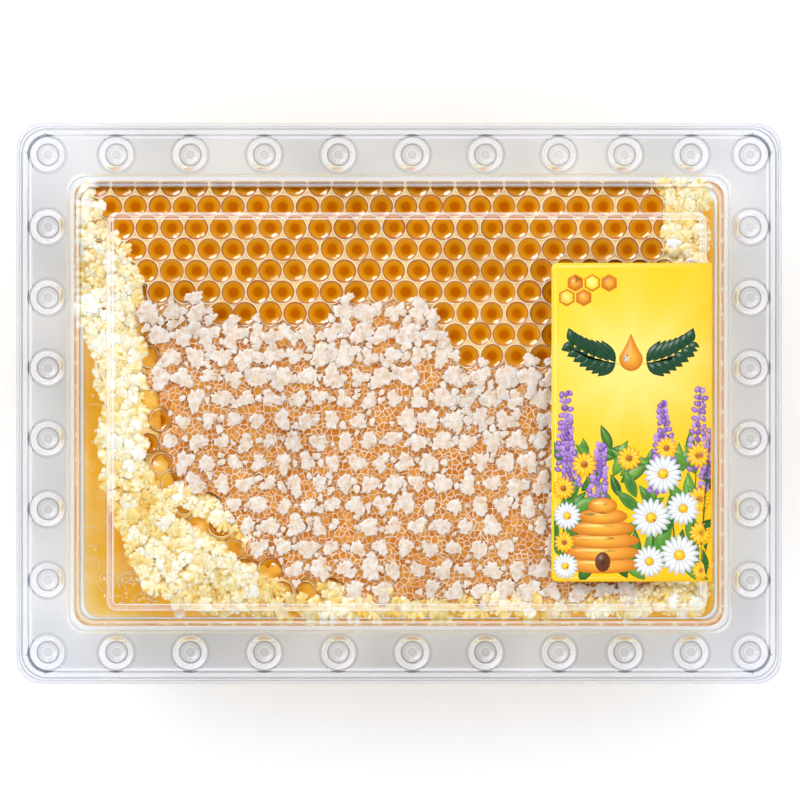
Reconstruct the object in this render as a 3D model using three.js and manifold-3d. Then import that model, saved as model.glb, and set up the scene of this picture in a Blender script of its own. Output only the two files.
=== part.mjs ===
// A piece of cut honeycomb, sealed with its drained honey in a clear two-part case with a printed label.
// Millimetres, +Z up. The origin is at the middle of the case's underside; +Y is the far long side.
import * as THREE from "three";
import { mergeVertices } from "three/addons/utils/BufferGeometryUtils.js";
import Module from "manifold-3d";

const wasm = await Module();
wasm.setup();

// Driving dimensions of the comb
const cellPitch = 5.4; // worker cells, across the flats
const rowPitch = (cellPitch * Math.sqrt(3)) / 2;
const cellPhase = { x: -3.9, y: 33.8 }; // centre of one cell, which sets where the rows fall
const rimHeight = 31.4; // top of the open cells' wax rims
const wellShare = 0.8; // width of the honey in an open cell, as a share of the pitch
const honeyDrop = 0.9; // from the rim down to the honey in an open cell
const capRise = { least: 0.25, most: 0.75 }; // how far a capping bulges over the rims
const trench = { drop: 2.2, halfWidth: 1.9 }; // torn cells that lie open, below the rims
const tornEdge = { sunk: 0.8, rough: 0.9 }; // the face between the crumbs
const crumb = { least: 1.5, most: 2.7, apart: 3.5, count: 58 }; // radii, spacing and number

// Driving dimensions of the case
const caseLength = 168;
const caseWidth = 123;
const cornerRadius = 5.4;
const cornerShrink = 0.15; // how much of an inset comes off the corner radius
const sheet = 0.5; // thickness of the clear sheet
const play = 0.1; // gap between the lid and the tray where they nest
const flangeTop = 29.2; // upper face of the lid's flange
const rimRise = 1.4; // how far the rolled rim stands over the flange
const skirtBottom = 26.4;
const mouthInset = 14; // from the case's outer edge to the cavity
const wallDraft = 0.5; // how much narrower the cavity is at its floor
const footInset = 3.6; // width of the band that the tray stands on
const footHeight = 0.6;
const landTop = 33.4; // upper face of the lid, outside its raised panel
const panelRise = 1;
const panel = { x: 1.7, y: -1.8, halfX: 65.7, halfY: 43.6, radius: 1.9, bevel: 1.3 };
const studs = { x: [-48, -25.7, 33.4, 62.1], y: -46, radius: 1.2, rise: 0.4 };

// Driving dimensions of the snap cups round the flange
const cup = { mouth: 3.6, floor: 2.3, depth: 2.2, inset: 6.8, sides: 8 };
const cupsAlongX = [-62.1, -45.9, -29.6, -13.3, 2.9, 19, 35.1, 49.6, 64.2]; // between the corner cups
const cupsAlongY = [-38.8, -23.2, -7.7, 7.8, 23.3, 38.8];

// Driving dimensions of the honey pool and the label
const poolLevel = 11.5;
const clearance = 0.3; // between the comb or the honey and what is round them
const label = { left: 33.4, right: 68.6, bottom: -39, top: 30.8, corner: 1.2, thickness: 0.15 };

const cornerSteps = 3;
const halfX = caseLength / 2;
const halfY = caseWidth / 2;
const trayTop = flangeTop - sheet - play;

// A repeatable random number from 0 to 1 for a place, so that neighbours agree on their shared corners.
function hash(a, b) {
  const s = Math.sin(a * 12.9898 + b * 78.233) * 43758.5453;
  return s - Math.floor(s);
}

const mix = THREE.MathUtils.lerp;

function solidFrom(positions, triangles) {
  const mesh = new wasm.Mesh({
    numProp: 3,
    vertProperties: Float32Array.from(positions),
    triVerts: Uint32Array.from(triangles),
  });
  return new wasm.Manifold(mesh);
}

function solidOf(geometry) {
  const bare = geometry.clone();
  bare.deleteAttribute("normal");
  bare.deleteAttribute("uv");
  const merged = mergeVertices(bare, 1e-4);
  return solidFrom(merged.attributes.position.array, merged.index.array);
}

function geometryOf(solid) {
  const mesh = solid.getMesh();
  const corners = new Float32Array(mesh.numVert * 3);
  for (let i = 0; i < mesh.numVert; i++) {
    const from = i * mesh.numProp;
    corners.set(mesh.vertProperties.subarray(from, from + 3), i * 3);
  }
  const geometry = new THREE.BufferGeometry();
  geometry.setAttribute("position", new THREE.BufferAttribute(corners, 3));
  geometry.setIndex(new THREE.BufferAttribute(Uint32Array.from(mesh.triVerts), 1));
  geometry.computeVertexNormals();
  return geometry;
}

const unite = (solids) => wasm.Manifold.union(solids);

// An upright prism over an outline of [x, y] points.
function prism(points, bottom, top) {
  const shape = new THREE.Shape(points.map(([x, y]) => new THREE.Vector2(x, y)));
  const geometry = new THREE.ExtrudeGeometry(shape, { depth: top - bottom, bevelEnabled: false });
  return solidOf(geometry.translate(0, 0, bottom));
}

// An upright cone or cylinder, with a flat side facing each row of the case.
function turned(x, y, bottom, top, bottomRadius, topRadius, sides = cup.sides) {
  const geometry = new THREE.CylinderGeometry(topRadius, bottomRadius, top - bottom, sides);
  geometry.rotateX(Math.PI / 2).rotateZ(Math.PI / sides);
  return solidOf(geometry.translate(x, y, (top + bottom) / 2));
}

// Points round a rectangle with rounded corners, always the same number, so that rings can be joined.
function roundedOutline(reachX, reachY, radius, x = 0, y = 0) {
  const points = [];
  const corners = [[1, 1], [-1, 1], [-1, -1], [1, -1]];
  corners.forEach(([sx, sy], quarter) => {
    for (let step = 0; step <= cornerSteps; step++) {
      const angle = ((quarter + step / cornerSteps) * Math.PI) / 2;
      points.push([
        x + sx * (reachX - radius) + radius * Math.cos(angle),
        y + sy * (reachY - radius) + radius * Math.sin(angle),
      ]);
    }
  });
  return points;
}

const insetOutline = (inset) =>
  roundedOutline(halfX - inset, halfY - inset, cornerRadius - cornerShrink * inset);

const ringAt = ([inset, z]) => insetOutline(inset).map(([x, y]) => [x, y, z]);

const panelRingAt = ([inset, z]) =>
  roundedOutline(
    panel.halfX - inset,
    panel.halfY - inset,
    panel.radius - inset,
    panel.x,
    panel.y,
  ).map(([x, y]) => [x, y, z]);

// Joins rings into one closed solid, with a flat cap on the first and the last ring.
function loft(rings) {
  const size = rings[0].length;
  const triangles = [];
  rings.slice(1).forEach((_, ring) => {
    for (let i = 0; i < size; i++) {
      const here = ring * size + i;
      const next = ring * size + ((i + 1) % size);
      triangles.push(here, next, here + size, next, next + size, here + size);
    }
  });
  const last = (rings.length - 1) * size;
  for (let i = 1; i < size - 1; i++) {
    triangles.push(0, i + 1, i, last, last + i, last + i + 1);
  }
  return solidFrom(rings.flat(2), triangles);
}

// The under face of a bent sheet whose upper face runs inwards through these [inset, z] points.
function undersideOf(points, startsUpright) {
  const level = [1, 0];
  return points.map(([inset, z], i) => {
    const towards = ([a, b]) => new THREE.Vector2(a, b).normalize();
    const before = i ? [inset - points[i - 1][0], z - points[i - 1][1]] : startsUpright ? [0, 1] : level;
    const after = points[i + 1] ? [points[i + 1][0] - inset, points[i + 1][1] - z] : level;
    const middle = towards(before).add(towards(after)).normalize();
    const miter = sheet / middle.dot(towards(after));
    return [inset + middle.y * miter, z - middle.x * miter];
  });
}

// A solid sheet between the rings of its upper face and those of its under face.
const sheetBetween = (upper, under) => loft([...under.reverse(), ...upper]);

// Where the snap cups stand: one at each corner and the others along the sides.
function cupPlaces() {
  const x = halfX - cup.inset;
  const y = halfY - cup.inset;
  return [
    ...[-x, ...cupsAlongX, x].flatMap((along) => [[along, y], [along, -y]]),
    ...cupsAlongY.flatMap((along) => [[x, along], [-x, along]]),
  ];
}

// Presses cups into a level sheet whose upper face is at this height. A second sheet's cups nest
// under the first one's, so they are wider by the first sheet's thickness and the play.
function withCups(shell, face) {
  const slope = (cup.mouth - cup.floor) / cup.depth;
  const across = Math.hypot(1, slope);
  const drop = flangeTop - face;
  const floor = flangeTop - cup.depth - drop;
  const wallAt = (z, out) => cup.floor + slope * (z - flangeTop + cup.depth) + (drop + out) * across;
  const cone = (x, y, bottom, top, out) =>
    turned(x, y, bottom, top, wallAt(bottom, out), wallAt(top, out));
  const places = cupPlaces();
  const bosses = places.map(([x, y]) => cone(x, y, floor - sheet, face - sheet / 2, sheet));
  const hollows = places.map(([x, y]) => cone(x, y, floor, face + play, 0));
  return shell.add(unite(bosses)).subtract(unite(hollows));
}

// The lid: a skirt, a rolled rim, the flange, a bead, the dome over the comb and a raised panel on top.
function makeLid() {
  const run = [
    [0, skirtBottom],
    [0, flangeTop + rimRise],
    [1.3, flangeTop + rimRise],
    [2.7, flangeTop],
    [10.9, flangeTop],
    [11.6, flangeTop + 0.6],
    [12.9, flangeTop + 0.6],
    [mouthInset - sheet, landTop - 0.6],
    [mouthInset + 0.2, landTop],
  ];
  const rise = [[0, landTop], [panel.bevel, landTop + panelRise]];
  const upper = [...run.map(ringAt), ...rise.map(panelRingAt)];
  const under = [
    ...undersideOf(run, true).map(ringAt),
    ...undersideOf(rise, false).map(panelRingAt),
  ];
  const pegs = studs.x.map((x) =>
    turned(x, studs.y, landTop - sheet / 2, landTop + studs.rise, studs.radius, studs.radius));
  return withCups(sheetBetween(upper, under), flangeTop).add(unite(pegs));
}

// How far the cavity's wall stands in from the case's edge, at a height.
const cavityInset = (z) => mouthInset + wallDraft * (1 - z / trayTop);

// The tray: a turned-down edge, the flange with its cups, drafted walls and a floor on a foot band.
function makeTray() {
  const wallFoot = cavityInset(0);
  const rounding = 0.7;
  const step = { inset: wallFoot + rounding + footInset, run: 0.8 };
  const run = [
    [sheet + play, skirtBottom + sheet],
    [sheet + play, trayTop],
    [mouthInset - 0.6, trayTop],
    [mouthInset, trayTop - 0.6],
    [wallFoot, sheet + rounding],
    [wallFoot + rounding, sheet],
    [step.inset, sheet],
    [step.inset + step.run, sheet + footHeight],
  ];
  const shell = sheetBetween(run.map(ringAt), undersideOf(run, true).map(ringAt));
  return withCups(shell, trayTop);
}

// The comb's outline, seen from above, from its far left corner and round to the left.
const combOutline = [
  [-68.8, 46.5], [-69, 30], [-68.9, 22.7], [-67.6, 14.8], [-66, 7.4], [-64.1, 0.3], [-64.6, -9.1],
  [-64.1, -16.6], [-61.7, -21.2], [-59.9, -27.8], [-58.2, -34.1], [-54.7, -39.2], [-49.8, -42.5],
  [-41.5, -44.6], [-30, -45.6], [66, -45.2], [66.4, 46.5],
];
// Inside this line the face is whole: open cells on the far side and capped ones on the near side.
const wholeFace = [
  [-63.9, 47.3], [-59.5, 39.2], [-58.4, 31.1], [-54.7, 22.7], [-56.4, 12.8], [-55.5, 0.8],
  [-54.7, -9.1], [-52.9, -17.2], [-42.6, -20.7], [-35.3, -25.6], [-30.1, -33.9], [-21.7, -39.2],
  [-8.6, -41.8], [15.6, -42.7], [39.7, -42.7], [56.2, -40.9], [60.8, -34.4], [60.8, 22.7],
  [59, 35.9], [58.2, 46.9],
];
// The near edge of the open cells, from left to right.
const openEdge = [
  [-70, 22], [-42, 22], [-40, 17.5], [-16, 17.5], [-13, 22], [7, 22], [10, 12.5], [18, 8], [70, 8],
];
// Where torn cells lie open between the crumbled edge and the whole face.
const trenches = [
  [[-55.8, 17], [-54.4, 0.8], [-54.2, -10.2], [-51.5, -18]],
  [[-48.1, -23.8], [-40.4, -27.8], [-33.8, -33.3], [-27.2, -37.6], [-19, -41.5]],
];

function isInside([x, y], outline) {
  let inside = false;
  outline.forEach(([ax, ay], i) => {
    const [bx, by] = outline[(i + 1) % outline.length];
    if (ay > y !== by > y && x < ax + ((bx - ax) * (y - ay)) / (by - ay)) inside = !inside;
  });
  return inside;
}

function heightOfLine(line, x) {
  const i = Math.max(1, line.findIndex(([at]) => at >= x));
  const [[ax, ay], [bx, by]] = [line[i - 1], line[i]];
  return mix(ay, by, (x - ax) / (bx - ax));
}

function distanceToPath([x, y], path) {
  const point = new THREE.Vector3(x, y, 0);
  const nearest = new THREE.Vector3();
  return Math.min(...path.slice(1).map(([bx, by], i) => {
    const from = new THREE.Vector3(...path[i], 0);
    new THREE.Line3(from, new THREE.Vector3(bx, by, 0)).closestPointToPoint(point, true, nearest);
    return nearest.distanceTo(point);
  }));
}

function kindOfCell(point) {
  if (trenches.some((path) => distanceToPath(point, path) < trench.halfWidth)) return "torn";
  if (!isInside(point, wholeFace)) return "crumbled";
  return point[1] > heightOfLine(openEdge, point[0]) ? "open" : "capped";
}

// How high the comb's face stands at the middle of a cell and at its corners.
const faceHeight = {
  capped: (x, y) => rimHeight + mix(capRise.least, capRise.most, hash(x, y)),
  torn: (x, y) => rimHeight - trench.drop * mix(0.7, 1, hash(x, y)),
  crumbled: (x, y) => rimHeight - tornEdge.sunk + tornEdge.rough * mix(-1, 1, hash(x, y)),
};
function cornerHeight(x, y) {
  const kind = kindOfCell([x, y]);
  return kind === "torn" || kind === "crumbled" ? faceHeight[kind](y, x) : rimHeight;
}

// The middles of all the cells that the cavity holds, row by row.
function cellMiddles() {
  const reachX = halfX - mouthInset + cellPitch;
  const reachY = halfY - mouthInset + rowPitch;
  const middles = [];
  for (let row = Math.ceil((cellPhase.y - reachY) / rowPitch); ; row++) {
    const y = cellPhase.y - row * rowPitch;
    if (y < -reachY) return middles;
    const first = cellPhase.x + (Math.abs(row) % 2) * (cellPitch / 2);
    for (let x = first - Math.floor((first + reachX) / cellPitch) * cellPitch; x < reachX; x += cellPitch) {
      middles.push([x, y]);
    }
  }
}

// The comb as a slab of six-sided cells, in which open cells are wells and the others fans round a middle.
function cellSlab(bottom) {
  const positions = [];
  const triangles = [];
  const add = (x, y, z) => positions.push(x, y, z) / 3 - 1;
  const corners = new Map();
  const cornerAt = (x, y) => {
    const key = `${Math.round(x * 50)},${Math.round(y * 50)}`;
    if (!corners.has(key)) {
      corners.set(key, { top: add(x, y, cornerHeight(x, y)), foot: add(x, y, bottom) });
    }
    return corners.get(key);
  };
  const around = Array.from({ length: 6 }, (_, i) => {
    const angle = Math.PI / 6 + (i * Math.PI) / 3;
    return [Math.cos(angle), Math.sin(angle)].map((part) => (part * cellPitch) / Math.sqrt(3));
  });
  const wellAt = (x, y) =>
    around.map(([dx, dy]) => add(x + dx * wellShare, y + dy * wellShare, rimHeight - honeyDrop));
  const edges = new Map();
  cellMiddles().forEach(([x, y]) => {
    const ring = around.map(([dx, dy]) => cornerAt(x + dx, y + dy));
    const kind = kindOfCell([x, y]);
    const well = kind === "open" ? wellAt(x, y) : null;
    const middle = well ? null : add(x, y, faceHeight[kind](x, y));
    const under = add(x, y, bottom);
    ring.forEach((here, i) => {
      const j = (i + 1) % 6;
      const next = ring[j];
      if (well) {
        triangles.push(here.top, next.top, well[j], here.top, well[j], well[i]);
        if (i > 0 && i < 5) triangles.push(well[0], well[i], well[j]);
      } else {
        triangles.push(here.top, next.top, middle);
      }
      triangles.push(here.foot, under, next.foot);
      edges.set(`${here.top},${next.top}`, [here, next]);
    });
  });
  // A wall closes each edge that has no cell on its other side.
  edges.forEach(([here, next]) => {
    if (edges.has(`${next.top},${here.top}`)) return;
    triangles.push(here.top, here.foot, next.foot, here.top, next.foot, next.top);
  });
  return solidFrom(positions, triangles);
}

// Lumps of crumbled wax, heaped where the cells were torn at the comb's edge.
function crumbs(top) {
  const lumps = [];
  const places = [];
  for (let i = 0; lumps.length < crumb.count; i++) {
    const point = [mix(-70, 68, hash(i, 1)), mix(-48, 47, hash(i, 2))];
    const isCrowded = places.some(([x, y]) => Math.hypot(x - point[0], y - point[1]) < crumb.apart);
    if (isCrowded || !isInside(point, combOutline) || kindOfCell(point) !== "crumbled") continue;
    const radius = mix(crumb.least, crumb.most, hash(i, 3));
    const lump = new THREE.IcosahedronGeometry(radius, 0);
    lump.rotateX(hash(i, 4) * 3).rotateZ(hash(i, 5) * 3);
    lumps.push(solidOf(lump.translate(...point, top - radius * mix(0.95, 1.2, hash(i, 6)))));
    places.push(point);
  }
  return unite(lumps);
}

// The space inside the shut case, kept clear of its walls.
function cavity(bottom, top) {
  const space = (z) => insetOutline(cavityInset(z) + clearance).map(([x, y]) => [x, y, z]);
  return loft([space(bottom), space(top)]);
}

function makeComb() {
  const bottom = footHeight + sheet + play;
  const top = landTop - sheet - clearance;
  const core = cellSlab(bottom).intersect(prism(combOutline, bottom - 1, top + 1));
  return core.add(crumbs(top)).intersect(cavity(bottom, top)).decompose()
    .sort((a, b) => b.volume() - a.volume())[0];
}

// The drained honey round the comb, up to its level.
function makePool() {
  const farEdge = Math.max(...combOutline.map(([, y]) => y));
  const grown = combOutline.map(([x, y]) => [
    x + Math.sign(x) * clearance,
    y === farEdge ? halfY : y + Math.sign(y) * clearance,
  ]);
  const bottom = sheet + footHeight + play;
  const pieces = cavity(bottom, poolLevel).subtract(prism(grown, -1, poolLevel + 1)).decompose();
  return pieces.sort((a, b) => b.volume() - a.volume())[0];
}

// The label: a thin sheet that lies on the panel and follows its bevel down to the lid's land.
function makeLabel() {
  const high = landTop + panelRise + play / 2;
  const low = landTop + play / 2;
  const edge = panel.x + panel.halfX;
  const run = [
    [label.left, high], [edge - panel.bevel, high], [edge, low], [label.right, low],
  ];
  const back = run.map(([x, z]) => [x, z + label.thickness]).reverse();
  const section = new THREE.Shape([...run, ...back].map(([x, z]) => new THREE.Vector2(x, z)));
  const length = label.top - label.bottom;
  const strip = new THREE.ExtrudeGeometry(section, { depth: length, bevelEnabled: false });
  strip.rotateX(Math.PI / 2).translate(0, label.top, 0);
  const rounded = [];
  [[label.top, 1], [label.bottom, -1]].forEach(([y, side]) => {
    const turn = Array.from({ length: cornerSteps + 1 }, (_, i) => (i / cornerSteps) * (Math.PI / 2));
    const arc = turn.map((a) => [
      label.left + label.corner * (1 - Math.cos(a)),
      y - side * label.corner * (1 - Math.sin(a)),
    ]);
    rounded.push(...(side > 0 ? arc.reverse() : arc));
  });
  rounded.push([label.right, label.bottom], [label.right, label.top]);
  return solidOf(strip).intersect(prism(rounded, landTop - 1, high + 1));
}

const clearPlastic = { color: 0xe4e6ec, roughness: 0.08, metalness: 0, transparent: true, opacity: 0.35 };
const finishes = {
  case_tray: clearPlastic,
  case_lid: clearPlastic,
  comb: { color: 0xe9c98a, roughness: 0.45, metalness: 0 },
  honey_pool: { color: 0xe3a32c, roughness: 0.1, metalness: 0 },
  label: { color: 0xf9d12c, roughness: 0.5, metalness: 0 },
};
const solids = {
  case_tray: makeTray(),
  case_lid: makeLid(),
  comb: makeComb(),
  honey_pool: makePool(),
  label: makeLabel(),
};

const packedComb = new THREE.Group();
Object.entries(solids).forEach(([name, solid]) => {
  const piece = new THREE.Mesh(geometryOf(solid), new THREE.MeshStandardMaterial(finishes[name]));
  piece.name = name;
  packedComb.add(piece);
});

export default packedComb;
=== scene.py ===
"""Dresses a packed slab of cut honeycomb in its clear snap case.

Shapes are worked out in millimetres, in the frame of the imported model, and each mesh is written in metres.
"""
import logging
import math
from dataclasses import dataclass, field
from enum import Enum
from typing import ClassVar, Iterable, Sequence

import bmesh
import bpy
import numpy as np
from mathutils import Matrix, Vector
from mathutils.geometry import delaunay_2d_cdt


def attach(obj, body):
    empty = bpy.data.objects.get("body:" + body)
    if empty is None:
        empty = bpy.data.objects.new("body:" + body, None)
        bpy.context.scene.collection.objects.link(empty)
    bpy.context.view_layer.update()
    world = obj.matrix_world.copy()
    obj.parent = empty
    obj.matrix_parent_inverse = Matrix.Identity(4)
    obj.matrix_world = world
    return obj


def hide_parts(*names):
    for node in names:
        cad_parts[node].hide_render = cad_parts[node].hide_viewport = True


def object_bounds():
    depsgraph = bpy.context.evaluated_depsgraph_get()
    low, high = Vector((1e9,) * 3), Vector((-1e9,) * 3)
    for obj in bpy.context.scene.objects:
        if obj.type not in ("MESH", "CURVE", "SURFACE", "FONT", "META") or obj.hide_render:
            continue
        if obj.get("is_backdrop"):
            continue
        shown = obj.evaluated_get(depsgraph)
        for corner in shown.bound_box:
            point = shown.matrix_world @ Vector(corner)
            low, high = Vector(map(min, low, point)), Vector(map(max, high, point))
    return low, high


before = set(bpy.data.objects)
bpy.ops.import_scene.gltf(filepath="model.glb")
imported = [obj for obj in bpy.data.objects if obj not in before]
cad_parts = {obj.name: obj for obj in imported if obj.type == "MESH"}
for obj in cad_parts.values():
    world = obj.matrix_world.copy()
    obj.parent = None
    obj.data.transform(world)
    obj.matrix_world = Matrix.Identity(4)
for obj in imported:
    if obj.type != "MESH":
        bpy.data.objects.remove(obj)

CAD_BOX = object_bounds()
MM = 0.001
BODY = "root"
log = logging.getLogger("honeycomb")

Array = np.ndarray
Piece = bpy.types.Object
Material = bpy.types.Material
Socket = bpy.types.NodeSocket
Face = tuple[int, ...]
Colour = tuple[float, float, float]
Inks = tuple[Colour, ...]
Point = tuple[float, float]
Step = tuple[float, float, float]
Stops = tuple[tuple[float, Colour], ...]


class Slot(Enum):
    """The record's material slots."""

    CLEAR = "clear_plastic"
    WAX = "comb_wax"
    HONEY = "honey"
    PRINT = "label_paper"


class CellKind(Enum):
    """How a cell's mouth looks."""

    OPEN = "open"
    CAPPED = "capped"
    TORN = "torn"
    CRUMBLED = "crumbled"


def srgb(red: int, green: int, blue: int) -> Colour:
    """Turns a colour as seen on a screen into the linear one that shaders use.

    Args:
        red: The red part, from 0 to 255.
        green: The green part.
        blue: The blue part.

    Returns:
        The three linear parts, from 0 to 1.
    """
    parts = [value / 255 for value in (red, green, blue)]
    return tuple(p / 12.92 if p <= 0.04045 else ((p + 0.055) / 1.055) ** 2.4 for p in parts)


def mix(low: Array | float, high: Array | float, share: Array | float) -> Array | float:
    """Gives the value that lies at a share of the way from one value to another."""
    return low + (high - low) * share


def place_noise(x: Array, y: Array, seed: float = 0.0) -> Array:
    """Gives a repeatable number from 0 to 1 for each place, so that neighbours agree where they meet.

    Args:
        x: Places along X, in millimetres.
        y: Places along Y.
        seed: Sets one noise apart from another.

    Returns:
        One number for each place.
    """
    wave = np.sin(np.round(x, 2) * 12.9898 + np.round(y, 2) * 78.233 + seed * 37.719) * 43758.5453
    return wave - np.floor(wave)


def soft_noise(x: Array, y: Array, size: float, seed: float = 0.0) -> Array:
    """Gives smooth hills from 0 to 1 that are about this many millimetres wide.

    Args:
        x: Places along X.
        y: Places along Y.
        size: The width of a hill.
        seed: Sets one noise apart from another.

    Returns:
        One number for each place.
    """
    u, v = np.asarray(x) / size, np.asarray(y) / size
    column, row = np.floor(u), np.floor(v)
    s, t = u - column, v - row
    s, t = s * s * (3 - 2 * s), t * t * (3 - 2 * t)
    near = mix(place_noise(column, row, seed), place_noise(column + 1, row, seed), s)
    far = mix(place_noise(column, row + 1, seed), place_noise(column + 1, row + 1, seed), s)
    return mix(near, far, t)


# Finishes


class Graph:
    """A material's nodes, made and joined in few words."""

    def __init__(self, name: str) -> None:
        """Starts an empty material.

        Args:
            name: The material's name.
        """
        self.material = bpy.data.materials.new(name)
        self.material.use_nodes = True
        self.tree = self.material.node_tree
        self.tree.nodes.clear()

    def node(self, kind: str, inputs: dict | None = None, **settings: object) -> bpy.types.Node:
        """Adds a node.

        Args:
            kind: The node's type without its ShaderNode start.
            inputs: Values, or sockets to link from, by input name or number.
            **settings: Properties of the node.

        Returns:
            The new node.
        """
        made = self.tree.nodes.new("ShaderNode" + kind)
        for key, value in settings.items():
            setattr(made, key, value)
        for key, value in (inputs or {}).items():
            if isinstance(value, Socket):
                self.tree.links.new(value, made.inputs[key])
            else:
                made.inputs[key].default_value = value
        return made

    def ramp(self, share: Socket, stops: Stops) -> Socket:
        """Turns a number into a colour through a row of stops.

        Args:
            share: The number's socket.
            stops: The place and the colour of each stop.

        Returns:
            The colour's socket.
        """
        made = self.node("ValToRGB", {"Fac": share})
        row = made.color_ramp.elements
        while len(row) < len(stops):
            row.new(0.5)
        for element, (place, colour) in zip(row, stops):
            element.position = place
            element.color = (*colour, 1)
        return made.outputs["Color"]

    def tone(self, name: str) -> Socket:
        """Reads a number that the mesh holds at each point."""
        return self.node("Attribute", attribute_name=name).outputs["Fac"]

    def place(self) -> Socket:
        """Gives each point's place, in metres."""
        return self.node("TexCoord").outputs["Object"]

    def noise(self, scale: float, detail: float = 2.0) -> Socket:
        """Gives noise that is even over the whole piece, with this many hills a metre."""
        sockets = {"Vector": self.place(), "Scale": scale, "Detail": detail}
        return self.node("TexNoise", sockets).outputs["Fac"]

    def blend(self, share: Socket, low: object, high: object) -> Socket:
        """Blends two colours.

        Args:
            share: The share of the second one.
            low: The first colour, or its socket.
            high: The second one, or its socket.

        Returns:
            The blend's socket.
        """
        made = self.node("Mix", data_type="RGBA")
        for key, value in {0: share, 6: low, 7: high}.items():
            if isinstance(value, Socket):
                self.tree.links.new(value, made.inputs[key])
            else:
                made.inputs[key].default_value = (*value, 1)
        return made.outputs[2]

    def work_out(self, kind: str, *values: Socket | float, clamp: bool = False) -> Socket:
        """Works out one number from others."""
        return self.node("Math", dict(enumerate(values)), operation=kind, use_clamp=clamp).outputs[0]

    def layer(self, share: Socket | float, low: Socket, high: Socket) -> Socket:
        """Lays one shader over another by a share."""
        return self.node("MixShader", {0: share, 1: low, 2: high}).outputs[0]

    def spread(self, scale: float, detail: float = 3.0) -> Socket:
        """Gives even noise that swings about nought."""
        return self.work_out("SUBTRACT", self.noise(scale, detail), 0.5)

    def bump(self, height: Socket, strength: float, distance: float) -> Socket:
        """Turns a height into a bumped normal."""
        sockets = {"Height": height, "Strength": strength, "Distance": distance}
        return self.node("Bump", sockets).outputs["Normal"]

    def end(self, shader: Socket) -> Material:
        """Makes this shader the material's surface and gives the material."""
        self.node("OutputMaterial", {"Surface": shader})
        return self.material


@dataclass(frozen=True)
class ClearPlastic:
    """Thermoformed clear sheet, faintly wavy: milky where its tone is over nought, as painted highlight, and
    dark where under, as painted shade and painted dark lines.
    """

    name: str = "clear sheet"
    tint: Colour = (0.955, 0.965, 0.985)
    # The colour that the painted shade and painted dark lines blend towards
    dark: Colour = (0.43, 0.44, 0.48)
    shade: Colour = (0.965, 0.968, 0.975)
    # The colour of the milky bands, which are painted highlights
    haze: Colour = (0.92, 0.93, 1.0)
    ior: float = 1.25
    roughness: float = 0.02
    ripple: float = 0.12
    ripple_scale: float = 55
    streaks: float = 0.34
    streak_scale: float = 38
    # The share of the milkiness that lets light through
    through: float = 0.4
    # The rays that pass straight through the sheet
    straight: tuple[str, ...] = ("Is Glossy Ray", "Is Diffuse Ray", "Is Shadow Ray")

    def material(self) -> Material:
        """Builds the finish's material.

        Returns:
            The material.
        """
        graph = Graph(self.name)
        tone = graph.tone("tone")
        normal = graph.bump(graph.noise(self.ripple_scale, 1.0), self.ripple, 0.0006)
        uneven = graph.work_out("MULTIPLY", graph.spread(self.streak_scale, 1.0), self.streaks)
        # How dark the sheet is: painted shade and dark lines where the tone is under nought, with random
        # streaks
        depth = graph.work_out("SUBTRACT", uneven, tone, clamp=True)
        sheet = graph.node(
            "BsdfPrincipled",
            {
                "Base Color": graph.blend(depth, self.tint, self.dark),
                "Roughness": self.roughness,
                "IOR": self.ior,
                "Transmission Weight": 1.0,
                "Normal": normal,
            },
        )
        front = graph.node("BsdfDiffuse", {"Color": (*self.haze, 1)})
        back = graph.node("BsdfTranslucent", {"Color": (*self.haze, 1)})
        milky = graph.layer(self.through, front.outputs[0], back.outputs[0])
        # Milkiness where the tone is over nought: painted highlight bands
        cloud = graph.work_out("MAXIMUM", tone, 0.0, clamp=True)
        shader = graph.layer(cloud, sheet.outputs[0], milky)
        passing = graph.node("BsdfTransparent", {"Color": graph.blend(depth, self.shade, self.dark)})
        paths = graph.node("LightPath").outputs
        for ray in self.straight:
            shader = graph.layer(paths[ray], shader, passing.outputs[0])
        return graph.end(shader)


@dataclass(frozen=True)
class Wax:
    """Beeswax whose tone runs from honey-soaked at 0 to clean at 1; on the crumbs it also carries painted
    shade in the creases.
    """

    name: str
    stops: Stops
    roughness: float = 0.5
    glow: float = 0.25
    grain: float = 0.25
    grain_scale: float = 700
    pore_scale: float = 1600

    def material(self) -> Material:
        """Builds the finish's material.

        Returns:
            The material.
        """
        graph = Graph(self.name)
        spread = graph.spread(self.grain_scale)
        shifted = graph.work_out("MULTIPLY_ADD", spread, self.grain, graph.tone("tone"))
        wax = graph.node(
            "BsdfPrincipled",
            {
                "Base Color": graph.ramp(shifted, self.stops),
                "Roughness": self.roughness,
                "Subsurface Weight": self.glow,
                "Subsurface Radius": (1.0, 0.7, 0.35),
                "Subsurface Scale": 0.0008,
                "Specular IOR Level": 0.3,
                "Normal": graph.bump(graph.noise(self.pore_scale, 3.0), 0.35, 0.0002),
            },
        )
        return graph.end(wax.outputs[0])


@dataclass(frozen=True)
class Honey:
    """Clear honey, wet and glossy, whose tone runs from deep at 0 to thin at 1."""

    name: str
    stops: Stops
    swirl: float
    swirl_scale: float

    def material(self) -> Material:
        """Builds the finish's material.

        Returns:
            The material.
        """
        graph = Graph(self.name)
        spread = graph.spread(self.swirl_scale)
        shifted = graph.work_out("MULTIPLY_ADD", spread, self.swirl, graph.tone("tone"))
        honey = graph.node(
            "BsdfPrincipled",
            {
                "Base Color": graph.ramp(shifted, self.stops),
                "Roughness": 0.4,
                "Specular IOR Level": 0.0,
                "Coat Weight": 0.5,
                "Coat Roughness": 0.015,
                "Coat IOR": 1.45,
            },
        )
        return graph.end(honey.outputs[0])


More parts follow.
